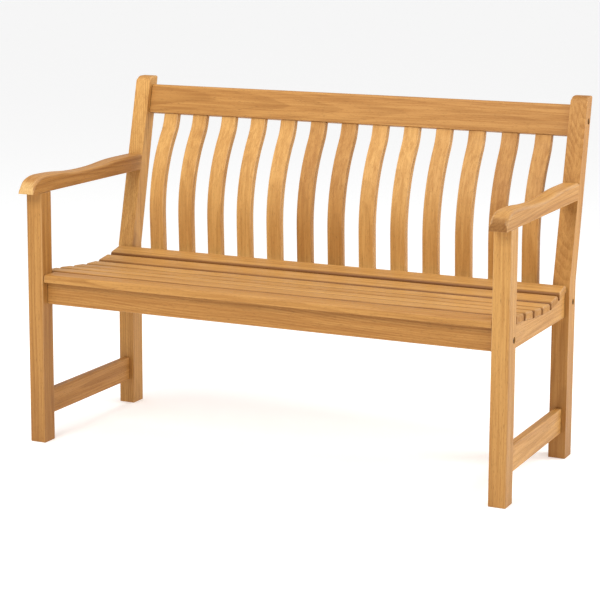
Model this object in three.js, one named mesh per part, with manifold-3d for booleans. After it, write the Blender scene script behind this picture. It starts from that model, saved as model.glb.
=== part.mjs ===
// A slatted hardwood garden bench: two side frames joined by bolted rails, with a
// scooped seat of seven slats and a back of thirteen bowed slats.
// Millimetres, +Z up, +X to the right of someone facing the bench, +Y towards its back.
// The origin is on the ground, in the middle of the whole bench.
import * as THREE from 'three';
import { mergeVertices } from 'three/addons/utils/BufferGeometryUtils.js';
import Module from 'manifold-3d';

// ---------------------------------------------------------------- overall sizes
const benchWidth = 1300;          // over the outer faces of the legs
const legStance = 505;            // front of the front legs to back of the back legs, at the ground
const backHeight = 909;           // ground to the top of the back legs
const armUnderside = 655;         // ground to the underside of the arms
const seatRailTop = 423;          // ground to the top of the front seat rail
const seatRailBottom = 364;       // ground to the underside of every seat rail

// ---------------------------------------------------------------- legs
const legWidth = 44;
const frontLegDepth = 47;
const backLegDepth = 50;
const bendHeight = 450;           // the back legs lean back above this height
const frontLeanDegrees = 13.4;    // lean of the front face of the back legs
const rearLeanDegrees = 12.2;     // lean of their rear face, less, so that they taper
const postTopRadius = 18;         // rounding of their top front corner

// ---------------------------------------------------------------- arms
const armThickness = 43;
const armNose = 36;               // how far an arm stands in front of its front leg
const armNoseRun = 66;            // length of the rounded nose
const armDip = 9;                 // depth of the shallow hollow in the top
const armFlatAtBack = 85;         // level stretch in front of the back leg
const armNoseFullness = 0.75;     // share of the thickness over which the nose stays steep

// ---------------------------------------------------------------- rails and stretchers
const frontRailThickness = 24;
const frontRailSetback = 22;      // from the front of the legs
const rearRailThickness = 28;
const rearRailSetback = 3;        // from the back of the back legs
const rearRailTop = 436;
const sideRailThickness = 22;
const bearerThickness = 24;
const bearerRelief = 0.5;         // the bearer is planed this much lower than the side rails
const stretcherThickness = 20;
const stretcherBottom = 66;
const stretcherHeight = 64;
const topRailThickness = 26;
const topRailHeight = 80;         // measured along its leaning face
const topRailSetback = 14;        // behind the front of the back legs
const topRailDrop = 21;           // below the top of the back legs
const topRailRadius = 9;          // rounding of its two top edges

// ---------------------------------------------------------------- seat
const seatSlatCount = 7;
const seatSlatThickness = 20;
const seatSlatGap = 11.8;
const seatSlatRadius = 8;         // rounding of the top edges
const seatNoseSetback = 3;        // the front slat, behind the front of the legs
const seatSlatEndInset = 7;       // slat ends, inside the outer faces of the legs
const scoopDrop = 18.5;           // depth of the scoop below the front rail
const scoopLowFromBack = 134.5;   // its lowest point, in front of the back legs
const scoopRearRise = 29.5;       // how far the curve climbs again behind the lowest point
const scoopRearRun = 180;         // over this length

// ---------------------------------------------------------------- back slats
const backSlatCount = 13;
const backSlatWidth = 44;
const backSlatThickness = 18;
const backSlatFootLean = -2.6;    // degrees, the foot leans slightly forwards
const backSlatFootLength = 94;    // straight stretch above the rear seat rail
const backSlatHeadLength = 10;    // straight stretch below the top rail
const backSlatHeadBend = 120;     // radius of the bend that turns the head upright again
const backSlatFootSetback = 12;   // slat's rear face, in front of the rear face of the back leg

// ---------------------------------------------------------------- joints and fixings
const fit = 0.3;                  // gap between two faces that meet
const stubTenon = 10;             // length of the tenons on the bolted rails
const stubShoulder = 8;           // shoulder above and below those tenons
const tenonLength = 20;           // length of the tenons inside the side frames
const tenonThickness = 10;
const tenonShoulder = 9;          // shoulder above and below those tenons
const legTenonSide = 24;          // square tenon on top of the front legs
const legTenonHeight = 20;
const armTenonWidth = 24;
const armTenonLength = 16;
const slatTenonLength = 14;
const slatTenonThickness = 10;
const boltDiameter = 8;
const boltHeadDiameter = 13;
const boltHeadHeight = 5;
const boltSocket = 5;             // across the flats of the hexagon socket
const boltSocketDepth = 3;
const counterboreDiameter = 16;
const counterboreDepth = 8;
const boltReach = 46;             // length of bolt inside a rail
const nutDiameter = 13;
const nutEndGap = 3;              // the barrel nut stops short of the face of the rail
const nutFromEnd = 36;            // centre of the barrel nut from the end of the rail
const screwDiameter = 4.4;
const screwHeadDiameter = 8;
const screwHeadHeight = 3.2;
const screwHeadEdge = 1;          // straight edge of the head, below its cone
const screwTip = 4;
const screwGrip = 26;             // wood between the screw head and the slat
const screwBite = 13;             // length of the screw inside the slat
const screwRecessDiameter = 9.4;
const frontScrewInset = 110;      // front slat's screws, inside the inner faces of the legs
const turnedSides = 16;
const screwSides = 10;
const curveSteps = 5;

// ---------------------------------------------------------------- worked-out places
const halfWidth = benchWidth / 2;
const legInner = halfWidth - legWidth;
const legMiddle = halfWidth - legWidth / 2;
const backLegFront = legStance - backLegDepth;
const railRoom = legInner - fit;
const frontLean = Math.tan(THREE.MathUtils.degToRad(frontLeanDegrees));
const rearLean = Math.tan(THREE.MathUtils.degToRad(rearLeanDegrees));
const armTop = armUnderside + armThickness;
const frontRailMiddle = frontRailSetback + frontRailThickness / 2;
const frontRailBack = frontRailSetback + frontRailThickness;
const rearRailBack = legStance - rearRailSetback;
const rearRailFront = rearRailBack - rearRailThickness;
const slatEnd = halfWidth - seatSlatEndInset;
const seatDepth = backLegFront - fit - seatNoseSetback;
const seatSlatDepth = (seatDepth - (seatSlatCount - 1) * seatSlatGap) / seatSlatCount;
const seatSlatPitch = seatSlatDepth + seatSlatGap;
const backSlatPitch = (2 * legInner + backSlatWidth) / (backSlatCount + 1);
const sides = [['left', -1], ['right', 1]];

// Front face of the leaning part of a back leg, at a height.
function postFrontAt(z) {
  return backLegFront + Math.max(0, z - bendHeight) * frontLean;
}

// Rear face of a back leg, at a height.
function postRearAt(z) {
  return legStance + Math.max(0, z - bendHeight) * rearLean;
}

// ---------------------------------------------------------------- solids
const wasm = await Module();
wasm.setup();

function toSolid(geometry) {
  geometry.deleteAttribute('normal');
  geometry.deleteAttribute('uv');
  const merged = mergeVertices(geometry);
  return new wasm.Manifold(new wasm.Mesh({
    numProp: 3,
    vertProperties: new Float32Array(merged.attributes.position.array),
    triVerts: new Uint32Array(merged.index.array),
  }));
}

function toGeometry(solid) {
  const result = solid.getMesh();
  const geometry = new THREE.BufferGeometry();
  geometry.setAttribute('position', new THREE.BufferAttribute(result.vertProperties, 3));
  geometry.setIndex(new THREE.BufferAttribute(result.triVerts, 1));
  return geometry;
}

// A side-view outline (first value along Y, second along Z), extruded along X.
function board(outline, xStart, xEnd) {
  const geometry = new THREE.ExtrudeGeometry(outline, {
    depth: xEnd - xStart,
    bevelEnabled: false,
    curveSegments: curveSteps,
  });
  const alongX = new THREE.Matrix4().makeBasis(
    new THREE.Vector3(0, 1, 0),
    new THREE.Vector3(0, 0, 1),
    new THREE.Vector3(1, 0, 0),
  );
  geometry.applyMatrix4(alongX);
  geometry.translate(xStart, 0, 0);
  return toSolid(geometry);
}

function outlineOf(points) {
  return new THREE.Shape(points.map(([y, z]) => new THREE.Vector2(y, z)));
}

function rectangle(yStart, yEnd, zStart, zEnd) {
  return outlineOf([[yStart, zStart], [yEnd, zStart], [yEnd, zEnd], [yStart, zEnd]]);
}

function block(xStart, xEnd, yStart, yEnd, zStart, zEnd) {
  return board(rectangle(yStart, yEnd, zStart, zEnd), xStart, xEnd);
}

// A block centred on x, so that left and right pieces share one call.
function blockAcross(xMiddle, width, yStart, yEnd, zStart, zEnd) {
  return block(xMiddle - width / 2, xMiddle + width / 2, yStart, yEnd, zStart, zEnd);
}

// A solid of revolution about an axis through `at`; the profile is [radius, distance] pairs.
function turned(profile, axis, at, segments) {
  const points = profile.map(([radius, distance]) => new THREE.Vector2(radius, distance));
  const geometry = new THREE.LatheGeometry(points, segments);
  const turn = new THREE.Quaternion().setFromUnitVectors(new THREE.Vector3(0, 1, 0), axis);
  geometry.applyQuaternion(turn);
  geometry.translate(at.x, at.y, at.z);
  return toSolid(geometry);
}

// A plain round bore or pin, from `start` for `length` along the axis.
function rod(diameter, length, axis, start, segments) {
  const radius = diameter / 2;
  return turned([[0, 0], [radius, 0], [radius, length], [0, length]], axis, start, segments);
}

// ---------------------------------------------------------------- materials
const teak = { color: 0xc9924f, roughness: 0.62, metalness: 0 };
const paleTeak = { color: 0xd8a868, roughness: 0.62, metalness: 0 };
const steel = { color: 0x8d8f92, roughness: 0.35, metalness: 1 };

const bench = new THREE.Group();

function addPiece(name, solid, finish) {
  const piece = new THREE.Mesh(toGeometry(solid), new THREE.MeshStandardMaterial(finish));
  piece.name = name;
  bench.add(piece);
}

// ---------------------------------------------------------------- bolted rail joints
// Each of the three bolted rails has a place on the legs: the middle of the bolt (y, z).
const topRailTop = backHeight - topRailDrop;
const topRailRise = new THREE.Vector2(frontLean, 1).normalize();      // up the face of the rail
const topRailInward = new THREE.Vector2(topRailRise.y, -topRailRise.x); // front to back
const topRailCorner = new THREE.Vector2(postFrontAt(topRailTop) + topRailSetback, topRailTop);

// A point of the top rail: `back` from its face and `down` from its top edge.
function onTopRail(back, down) {
  return topRailCorner.clone()
    .addScaledVector(topRailInward, back)
    .addScaledVector(topRailRise, -down);
}

const topBolt = onTopRail(topRailThickness / 2, topRailHeight / 2);
const boltPlaces = {
  front: { y: frontRailMiddle, z: (seatRailTop + seatRailBottom) / 2, depth: frontRailThickness },
  rear: {
    y: (rearRailFront + rearRailBack) / 2,
    z: (rearRailTop + seatRailBottom) / 2,
    depth: rearRailThickness,
  },
  top: { y: topBolt.x, z: topBolt.y, depth: topRailThickness },
};
const outward = new THREE.Vector3(1, 0, 0);

function pointAt(x, y, z) {
  return new THREE.Vector3(x, y, z);
}

// The counterbore and the long bore of one bolt, as one cutter for legs, tenons and rails.
function boltBore(place, side) {
  const axis = outward.clone().multiplyScalar(-side);
  const start = side * (halfWidth + fit);
  const bore = rod(
    boltDiameter + 2 * fit,
    legWidth + fit + boltReach + 2 * fit,
    axis,
    pointAt(start, place.y, place.z),
    turnedSides,
  );
  const recess = rod(
    counterboreDiameter,
    counterboreDepth + fit,
    axis,
    pointAt(start, place.y, place.z),
    turnedSides,
  );
  return bore.add(recess);
}

// The barrel nut lies across the rail, so its bore is drilled from the back of the rail.
const topNutAxis = new THREE.Vector3(0, topRailInward.x, topRailInward.y);
const nutAxes = {
  front: new THREE.Vector3(0, 1, 0),
  rear: new THREE.Vector3(0, 1, 0),
  top: topNutAxis,
};

function nutMiddle(place, side) {
  return pointAt(side * (railRoom - nutFromEnd), place.y, place.z);
}

function nutBore(place, side, axis) {
  const start = nutMiddle(place, side).addScaledVector(axis, nutEndGap - place.depth / 2 - fit);
  return rod(nutDiameter + 2 * fit, place.depth + fit, axis, start, turnedSides);
}

// ---------------------------------------------------------------- seat curve
const scoopFront = frontLegDepth;
const scoopLow = backLegFront - scoopLowFromBack;

// Height of the top of the side rails: a gentle fall, then a climb towards the back.
function seatCurve(y) {
  if (y <= scoopFront) {
    return seatRailTop;
  }
  if (y <= scoopLow) {
    const along = (y - scoopFront) / (scoopLow - scoopFront);
    return seatRailTop - scoopDrop * (1 - Math.cos(Math.PI * along)) / 2;
  }
  const along = (y - scoopLow) / scoopRearRun;
  return seatRailTop - scoopDrop + scoopRearRise * (1 - Math.cos(Math.PI * along)) / 2;
}

// The slats lie on flats of that curve; a flat runs from one slat gap to the next.
const flatEdges = [];
for (let i = 1; i < seatSlatCount; i += 1) {
  const y = seatNoseSetback + i * seatSlatPitch - seatSlatGap / 2;
  flatEdges.push([y, seatCurve(y)]);
}
flatEdges.push([backLegFront, seatCurve(backLegFront)]);

// Underside of slat i (0 is the front one): its middle and the slope of its flat.
function slatSeat(i) {
  if (i === 0) {
    const middle = seatNoseSetback + seatSlatDepth / 2;
    return { y: middle, z: seatRailTop, slope: 0 };
  }
  const [frontY, frontZ] = flatEdges[i - 1];
  const [rearY, rearZ] = flatEdges[i];
  const slope = (rearZ - frontZ) / (rearY - frontY);
  const y = seatNoseSetback + i * seatSlatPitch + seatSlatDepth / 2;
  return { y, z: frontZ + slope * (y - frontY), slope };
}

// Top of a rail that follows the flats, from front to back. Behind the last flat it is level.
function railTopPoints(yStart, yEnd, drop) {
  const edges = flatEdges.filter(([y]) => y > yStart && y < yEnd);
  const first = [yStart, seatCurve(yStart)];
  const last = [yEnd, seatCurve(Math.min(yEnd, backLegFront))];
  return [first, ...edges, last].map(([y, z]) => [y, z - drop]);
}

// ---------------------------------------------------------------- screws under the slats
const upward = new THREE.Vector3(0, 0, 1);
const screwPlaces = [];
for (let i = 0; i < seatSlatCount; i += 1) {
  for (const [sideName, side] of sides) {
    const seat = slatSeat(i);
    const x = i === 0 ? side * (legInner - frontScrewInset) : side * legMiddle;
    const y = i === 0 ? frontRailMiddle : seat.y;
    screwPlaces.push({ slat: i, side, name: `slat_screw_${i + 1}_${sideName}`, x, y, z: seat.z });
  }
}

function screwHeadAt(place) {
  return pointAt(place.x, place.y, place.z - screwGrip);
}

// Recess from the underside of the rail, and the bore on through rail and slat.
function screwBore(place) {
  const head = screwHeadAt(place);
  const recessStart = pointAt(place.x, place.y, seatRailBottom - fit);
  const recess = rod(
    screwRecessDiameter,
    head.z - fit + screwHeadHeight - recessStart.z,
    upward,
    recessStart,
    screwSides,
  );
  const bore = rod(
    screwDiameter + 2 * fit,
    screwGrip + screwBite + 2 * fit,
    upward,
    head,
    screwSides,
  );
  return recess.add(bore);
}

function cutScrews(solid, wanted) {
  return screwPlaces.filter(wanted).reduce((left, place) => left.subtract(screwBore(place)), solid);
}

// ---------------------------------------------------------------- tenons inside a side frame
function endTenons(xMiddle, yStart, yEnd, zStart, zEnd, clearance) {
  const width = tenonThickness + 2 * clearance;
  const length = tenonLength + clearance;
  const low = zStart + tenonShoulder - clearance;
  const high = zEnd - tenonShoulder + clearance;
  const front = blockAcross(xMiddle, width, yStart - length, yStart + 2 * fit, low, high);
  const rear = blockAcross(xMiddle, width, yEnd - 2 * fit, yEnd + length, low, high);
  return front.add(rear);
}

const betweenLegs = [frontLegDepth + fit, backLegFront - fit];
const sideTenonTop = seatRailTop - scoopDrop;

function sideRailTenons(xMiddle, clearance) {
  return endTenons(xMiddle, ...betweenLegs, seatRailBottom, sideTenonTop, clearance);
}

function stretcherTenons(xMiddle, clearance) {
  const top = stretcherBottom + stretcherHeight;
  return endTenons(xMiddle, ...betweenLegs, stretcherBottom, top, clearance);
}

// ---------------------------------------------------------------- stub tenons of bolted rails
function insetRectangle(yStart, yEnd, zStart, zEnd, clearance) {
  const thin = (yEnd - yStart - tenonThickness) / 2 - clearance;
  const low = stubShoulder - clearance;
  return rectangle(yStart + thin, yEnd - thin, zStart + low, zEnd - low);
}

function topTenonOutline(clearance) {
  const near = (topRailThickness - tenonThickness) / 2 - clearance;
  const far = topRailThickness - near;
  const high = stubShoulder - clearance;
  const low = topRailHeight - high;
  return new THREE.Shape([
    onTopRail(near, high),
    onTopRail(near, low),
    onTopRail(far, low),
    onTopRail(far, high),
  ]);
}

function stubOutline(rail, clearance) {
  if (rail === 'front') {
    return insetRectangle(
      frontRailSetback, frontRailBack, seatRailBottom, seatRailTop, clearance,
    );
  }
  if (rail === 'rear') {
    return insetRectangle(rearRailFront, rearRailBack, seatRailBottom, rearRailTop, clearance);
  }
  return topTenonOutline(clearance);
}

function stubTenons(rail) {
  const outline = stubOutline(rail, 0);
  const reach = railRoom + stubTenon;
  return board(outline, -reach, reach);
}

function stubMortise(rail, side) {
  const inner = side * (legInner - 2 * fit);
  const outer = side * (legInner + stubTenon + fit);
  return board(stubOutline(rail, fit), Math.min(inner, outer), Math.max(inner, outer));
}

// ---------------------------------------------------------------- arms
function armOutline() {
  const back = postFrontAt(armUnderside) - fit;
  const backTop = postFrontAt(armTop) - fit;
  const noseEnd = armNoseRun - armNose;
  const flatStart = backTop - armFlatAtBack;
  const hollowMiddle = (noseEnd + flatStart) / 2;
  const pull = (flatStart - noseEnd) / 4;
  const outline = new THREE.Shape();
  outline.moveTo(-armNose, armUnderside);
  outline.lineTo(back, armUnderside);
  outline.lineTo(backTop, armTop);
  outline.lineTo(flatStart, armTop);
  outline.bezierCurveTo(
    flatStart - pull, armTop,
    hollowMiddle + pull, armTop - armDip,
    hollowMiddle, armTop - armDip,
  );
  outline.bezierCurveTo(
    hollowMiddle - pull, armTop - armDip,
    noseEnd + pull, armTop,
    noseEnd, armTop,
  );
  outline.bezierCurveTo(
    noseEnd - armNoseRun / 2, armTop,
    -armNose, armUnderside + armThickness * armNoseFullness,
    -armNose, armUnderside,
  );
  return outline;
}

function armTenon(xMiddle, clearance) {
  const low = armUnderside + tenonShoulder - clearance;
  const high = armTop - tenonShoulder + clearance;
  const start = postFrontAt(armUnderside) - 2 * fit;
  const end = postFrontAt(armTop) + armTenonLength + clearance;
  return blockAcross(xMiddle, armTenonWidth + 2 * clearance, start, end, low, high);
}

function legTenon(xMiddle, clearance) {
  const yMiddle = frontLegDepth / 2;
  const half = legTenonSide / 2 + clearance;
  const start = armUnderside - 2 * fit;
  const end = armUnderside + legTenonHeight + clearance;
  return blockAcross(xMiddle, 2 * half, yMiddle - half, yMiddle + half, start, end);
}

for (const [sideName, side] of sides) {
  const xMiddle = side * legMiddle;
  const arm = board(armOutline(), xMiddle - legWidth / 2, xMiddle + legWidth / 2)
    .add(armTenon(xMiddle, 0))
    .subtract(legTenon(xMiddle, fit));
  addPiece(`arm_${sideName}`, arm, paleTeak);
}

// ---------------------------------------------------------------- front legs
for (const [sideName, side] of sides) {
  const xMiddle = side * legMiddle;
  const leg = blockAcross(xMiddle, legWidth, 0, frontLegDepth, 0, armUnderside - fit)
    .add(legTenon(xMiddle, 0))
    .subtract(stubMortise('front', side))
    .subtract(sideRailTenons(xMiddle, fit))
    .subtract(stretcherTenons(xMiddle, fit))
    .subtract(boltBore(boltPlaces.front, side));
  addPiece(`front_leg_${sideName}`, leg, paleTeak);
}

// ---------------------------------------------------------------- back legs
function backLegOutline() {
  const rearTop = postRearAt(backHeight);
  const frontTop = postFrontAt(backHeight);
  const outline = new THREE.Shape();
  outline.moveTo(backLegFront, 0);
  outline.lineTo(legStance, 0);
  outline.lineTo(legStance, bendHeight);
  outline.lineTo(rearTop, backHeight);
  outline.lineTo(frontTop + postTopRadius, backHeight);
  outline.quadraticCurveTo(
    frontTop, backHeight,
    postFrontAt(backHeight - postTopRadius), backHeight - postTopRadius,
  );
  outline.lineTo(backLegFront, bendHeight);
  outline.closePath();
  return outline;
}

for (const [sideName, side] of sides) {
  const xMiddle = side * legMiddle;
  const leg = board(backLegOutline(), xMiddle - legWidth / 2, xMiddle + legWidth / 2)
    .subtract(stubMortise('rear', side))
    .subtract(stubMortise('top', side))
    .subtract(sideRailTenons(xMiddle, fit))
    .subtract(stretcherTenons(xMiddle, fit))
    .subtract(armTenon(xMiddle, fit))
    .subtract(boltBore(boltPlaces.rear, side))
    .subtract(boltBore(boltPlaces.top, side));
  addPiece(`back_leg_${sideName}`, leg, teak);
}

// ---------------------------------------------------------------- side seat rails
for (const [sideName, side] of sides) {
  const xMiddle = side * legMiddle;
  const [yStart, yEnd] = betweenLegs;
  const outline = outlineOf([
    [yStart, seatRailBottom],
    [yEnd, seatRailBottom],
    ...railTopPoints(yStart, yEnd, 0).reverse(),
  ]);
  const plain = board(outline, xMiddle - sideRailThickness / 2, xMiddle + sideRailThickness / 2)
    .add(sideRailTenons(xMiddle, 0))
    .subtract(boltBore(boltPlaces.front, side))
    .subtract(boltBore(boltPlaces.rear, side));
  const rail = cutScrews(plain, (place) => place.slat > 0 && place.side === side);
  addPiece(`side_seat_rail_${sideName}`, rail, paleTeak);
}

// ---------------------------------------------------------------- low stretchers
for (const [sideName, side] of sides) {
  const xMiddle = side * legMiddle;
  const top = stretcherBottom + stretcherHeight;
  const stretcher = blockAcross(xMiddle, stretcherThickness, ...betweenLegs, stretcherBottom, top)
    .add(stretcherTenons(xMiddle, 0));
  addPiece(`low_stretcher_${sideName}`, stretcher, teak);
}

// ---------------------------------------------------------------- centre bearer
// It is tenoned into the front and rear seat rails and carries the middle of the slats.
const bearerTop = seatRailTop - scoopDrop;

function bearerTenons(clearance) {
  const width = tenonThickness + 2 * clearance;
  const reach = stubTenon + clearance;
  const low = seatRailBottom + tenonShoulder - clearance;
  const high = bearerTop - tenonShoulder + clearance;
  const front = blockAcross(
    0, width, frontRailBack - reach, frontRailBack + 3 * fit, low, high,
  );
  const rear = blockAcross(
    0, width, rearRailFront - 3 * fit, rearRailFront + reach, low, high,
  );
  return front.add(rear);
}

function bearerSolid() {
  const yStart = frontRailBack + fit;
  const yEnd = rearRailFront - fit;
  const outline = outlineOf([
    [yStart, seatRailBottom],
    [yEnd, seatRailBottom],
    ...railTopPoints(yStart, yEnd, bearerRelief).reverse(),
  ]);
  return board(outline, -bearerThickness / 2, bearerThickness / 2).add(bearerTenons(0));
}

addPiece('centre_seat_bearer', bearerSolid(), teak);

// ---------------------------------------------------------------- front seat rail
function boltedRail(plain, rail) {
  const place = boltPlaces[rail];
  return sides.reduce(
    (left, [, side]) => left
      .subtract(boltBore(place, side))
      .subtract(nutBore(place, side, nutAxes[rail])),
    plain.add(stubTenons(rail)),
  );
}

const frontRail = boltedRail(
  block(-railRoom, railRoom, frontRailSetback, frontRailBack, seatRailBottom, seatRailTop - fit),
  'front',
).subtract(bearerTenons(fit));
addPiece('front_seat_rail', cutScrews(frontRail, (place) => place.slat === 0), teak);

// ---------------------------------------------------------------- back slats
const slatFootMiddle = legStance - backSlatFootSetback - backSlatThickness / 2;
const slatHeadTarget = onTopRail(topRailThickness / 2, topRailHeight);
const footAngle = THREE.MathUtils.degToRad(backSlatFootLean);

// Direction of the slat at an angle back from upright, as (y, z).
function leaning(angle) {
  return new THREE.Vector2(Math.sin(angle), Math.cos(angle));
}

// Direction square to the slat at that angle, towards the rear.
function squareTo(angle) {
  return new THREE.Vector2(Math.cos(angle), -Math.sin(angle));
}

// Centre line of a slat: a straight foot, a long bend backwards, a short bend that turns it
// upright again, and a straight head in line with the top rail. The two arcs touch each other.
const railUp = onTopRail(0, 0).sub(onTopRail(0, topRailHeight)).normalize();
const headAngle = Math.atan2(railUp.x, railUp.y);
const slatFoot = new THREE.Vector2(slatFootMiddle, rearRailTop);
const bendStart = slatFoot.clone().addScaledVector(leaning(footAngle), backSlatFootLength);
const headStart = slatHeadTarget.clone().addScaledVector(leaning(headAngle), -backSlatHeadLength);
const headBendCentre = headStart.clone().addScaledVector(squareTo(headAngle), -backSlatHeadBend);
const fromHeadBend = bendStart.clone().sub(headBendCentre);
const bendRadius = (fromHeadBend.lengthSq() - backSlatHeadBend ** 2)
  / (2 * (backSlatHeadBend - fromHeadBend.dot(squareTo(footAngle))));
const bendCentre = bendStart.clone().addScaledVector(squareTo(footAngle), bendRadius);
const steepestAngle = Math.atan2(
  headBendCentre.y - bendCentre.y,
  bendCentre.x - headBendCentre.x,
);

// Points round an arc of the centre line; a negative radius bends it the other way.
function arcPoints(centre, radius, from, to, steps) {
  const points = [];
  for (let step = 0; step <= steps; step += 1) {
    const angle = THREE.MathUtils.lerp(from, to, step / steps);
    points.push({ at: centre.clone().addScaledVector(squareTo(angle), -radius), angle });
  }
  return points;
}

function slatLine() {
  const bend = arcPoints(bendCentre, bendRadius, footAngle, steepestAngle, 2 * curveSteps);
  const headBend = arcPoints(headBendCentre, -backSlatHeadBend, steepestAngle, headAngle, curveSteps);
  return [
    { at: slatFoot.clone(), angle: footAngle },
    ...bend,
    ...headBend.slice(1),
    { at: slatHeadTarget.clone(), angle: headAngle },
  ];
}

// A point beside a centre line, towards the rear of the bench.
function beside({ at, angle }, amount) {
  return at.clone().addScaledVector(squareTo(angle), amount);
}

// A strip of a given thickness along a centre line, as a side-view outline.
function strip(line, thickness) {
  const rearSide = line.map((point) => beside(point, thickness / 2));
  const frontSide = line.map((point) => beside(point, -thickness / 2)).reverse();
  return new THREE.Shape([...rearSide, ...frontSide]);
}

// The shoulders of a slat lie flat along its two rails, clear of them by the fit.
const footShoulder = {
  on: slatFoot.clone().add(new THREE.Vector2(0, fit)),
  square: new THREE.Vector2(0, 1),
};
const headShoulder = {
  on: slatHeadTarget.clone().addScaledVector(railUp, -fit),
  square: railUp,
};

// Slides a point along the slat until it lies on a shoulder.
function slidOnto(shoulder, point, angle) {
  const way = leaning(angle);
  const distance = shoulder.on.clone().sub(point).dot(shoulder.square) / way.dot(shoulder.square);
  return point.clone().addScaledVector(way, distance);
}

function slatOutline() {
  const line = slatLine();
  const shoulders = new Map([[0, footShoulder], [line.length - 1, headShoulder]]);
  const edge = (amount) => line.map((point, i) => {
    const place = beside(point, amount);
    return shoulders.has(i) ? slidOnto(shoulders.get(i), place, point.angle) : place;
  });
  const half = backSlatThickness / 2;
  return new THREE.Shape([...edge(half), ...edge(-half).reverse()]);
}

// The two tenons of a slat, each a short straight strip into its rail.
function slatTenonOutlines(clearance) {
  const thickness = slatTenonThickness + 2 * clearance;
  const overlap = backSlatThickness / 2;
  return [
    [slatFoot, footAngle, -(slatTenonLength + clearance), overlap],
    [slatHeadTarget, headAngle, -overlap, slatTenonLength + clearance],
  ].map(([at, angle, from, to]) => strip([
    { at: at.clone().addScaledVector(leaning(angle), from), angle },
    { at: at.clone().addScaledVector(leaning(angle), to), angle },
  ], thickness));
}

function slatTenons(xMiddle, clearance) {
  const half = backSlatWidth / 2 + clearance;
  return slatTenonOutlines(clearance)
    .map((outline) => board(outline, xMiddle - half, xMiddle + half));
}

const backSlatMiddles = [];
for (let i = 0; i < backSlatCount; i += 1) {
  backSlatMiddles.push((i - (backSlatCount - 1) / 2) * backSlatPitch);
}

backSlatMiddles.forEach((xMiddle, i) => {
  const half = backSlatWidth / 2;
  const slat = slatTenons(xMiddle, 0).reduce(
    (whole, tenon) => whole.add(tenon),
    board(slatOutline(), xMiddle - half, xMiddle + half),
  );
  const number = String(i + 1).padStart(2, '0');
  addPiece(`back_slat_${number}`, slat, i % 2 === 0 ? teak : paleTeak);
});

// ---------------------------------------------------------------- rear seat rail and top rail
function cutSlatMortises(rail) {
  return backSlatMiddles.reduce(
    (left, xMiddle) => slatTenons(xMiddle, fit).reduce((rest, mortise) => rest.subtract(mortise), left),
    rail,
  );
}

const rearRail = boltedRail(
  block(-railRoom, railRoom, rearRailFront, rearRailBack, seatRailBottom, rearRailTop),
  'rear',
).subtract(bearerTenons(fit));
addPiece('rear_seat_rail', cutSlatMortises(rearRail), teak);

function topRailOutline() {
  const radius = topRailRadius;
  const outline = new THREE.Shape();
  const corner = (back, down) => onTopRail(back, down).toArray();
  outline.moveTo(...corner(0, topRailHeight));
  outline.lineTo(...corner(topRailThickness, topRailHeight));
  outline.lineTo(...corner(topRailThickness, radius));
  outline.quadraticCurveTo(
    ...corner(topRailThickness, 0),
    ...corner(topRailThickness - radius, 0),
  );
  outline.lineTo(...corner(radius, 0));
  outline.quadraticCurveTo(...corner(0, 0), ...corner(0, radius));
  outline.closePath();
  return outline;
}

const topRail = boltedRail(board(topRailOutline(), -railRoom, railRoom), 'top');
addPiece('top_rail', cutSlatMortises(topRail), teak);

// ---------------------------------------------------------------- seat slats
function seatSlatOutline(seat) {
  const half = seatSlatDepth / 2;
  const radius = seatSlatRadius;
  const rise = new THREE.Vector2(-seat.slope, 1).normalize();
  const run = new THREE.Vector2(rise.y, -rise.x);
  const base = new THREE.Vector2(seat.y, seat.z).addScaledVector(rise, fit);
  const point = (along, up) => base.clone()
    .addScaledVector(run, along)
    .addScaledVector(rise, up)
    .toArray();
  const outline = new THREE.Shape();
  outline.moveTo(...point(-half, 0));
  outline.lineTo(...point(half, 0));
  outline.lineTo(...point(half, seatSlatThickness - radius));
  outline.quadraticCurveTo(
    ...point(half, seatSlatThickness),
    ...point(half - radius, seatSlatThickness),
  );
  outline.lineTo(...point(radius - half, seatSlatThickness));
  outline.quadraticCurveTo(
    ...point(-half, seatSlatThickness),
    ...point(-half, seatSlatThickness - radius),
  );
  outline.closePath();
  return outline;
}

for (let i = 0; i < seatSlatCount; i += 1) {
  const reach = i === 0 ? railRoom : slatEnd;
  const plain = board(seatSlatOutline(slatSeat(i)), -reach, reach);
  const slat = cutScrews(plain, (place) => place.slat === i);
  addPiece(`seat_slat_${i + 1}`, slat, paleTeak);
}

// ---------------------------------------------------------------- bolts and barrel nuts
function railBolt(place, side) {
  const axis = outward.clone().multiplyScalar(-side);
  const seat = pointAt(side * (halfWidth - counterboreDepth), place.y, place.z);
  const head = seat.clone().addScaledVector(axis, -boltHeadHeight - fit);
  const length = legWidth - counterboreDepth + boltReach;
  const profile = [
    [0, 0],
    [boltHeadDiameter / 2, 0],
    [boltHeadDiameter / 2, boltHeadHeight],
    [boltDiameter / 2, boltHeadHeight],
    [boltDiameter / 2, boltHeadHeight + length],
    [0, boltHeadHeight + length],
  ];
  const socketStart = head.clone().addScaledVector(axis, -fit);
  const socketDiameter = boltSocket / Math.cos(Math.PI / 6);
  const socket = rod(socketDiameter, boltSocketDepth + fit, axis, socketStart, 6);
  return turned(profile, axis, head, turnedSides).subtract(socket);
}

function barrelNut(place, side, axis) {
  const start = nutMiddle(place, side).addScaledVector(axis, nutEndGap - place.depth / 2);
  const body = rod(nutDiameter, place.depth - nutEndGap - fit, axis, start, turnedSides);
  const across = outward.clone().multiplyScalar(-side);
  const holeStart = nutMiddle(place, side).addScaledVector(across, -nutDiameter);
  const hole = rod(boltDiameter + 2 * fit, 2 * nutDiameter, across, holeStart, turnedSides);
  return body.subtract(hole);
}

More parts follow.
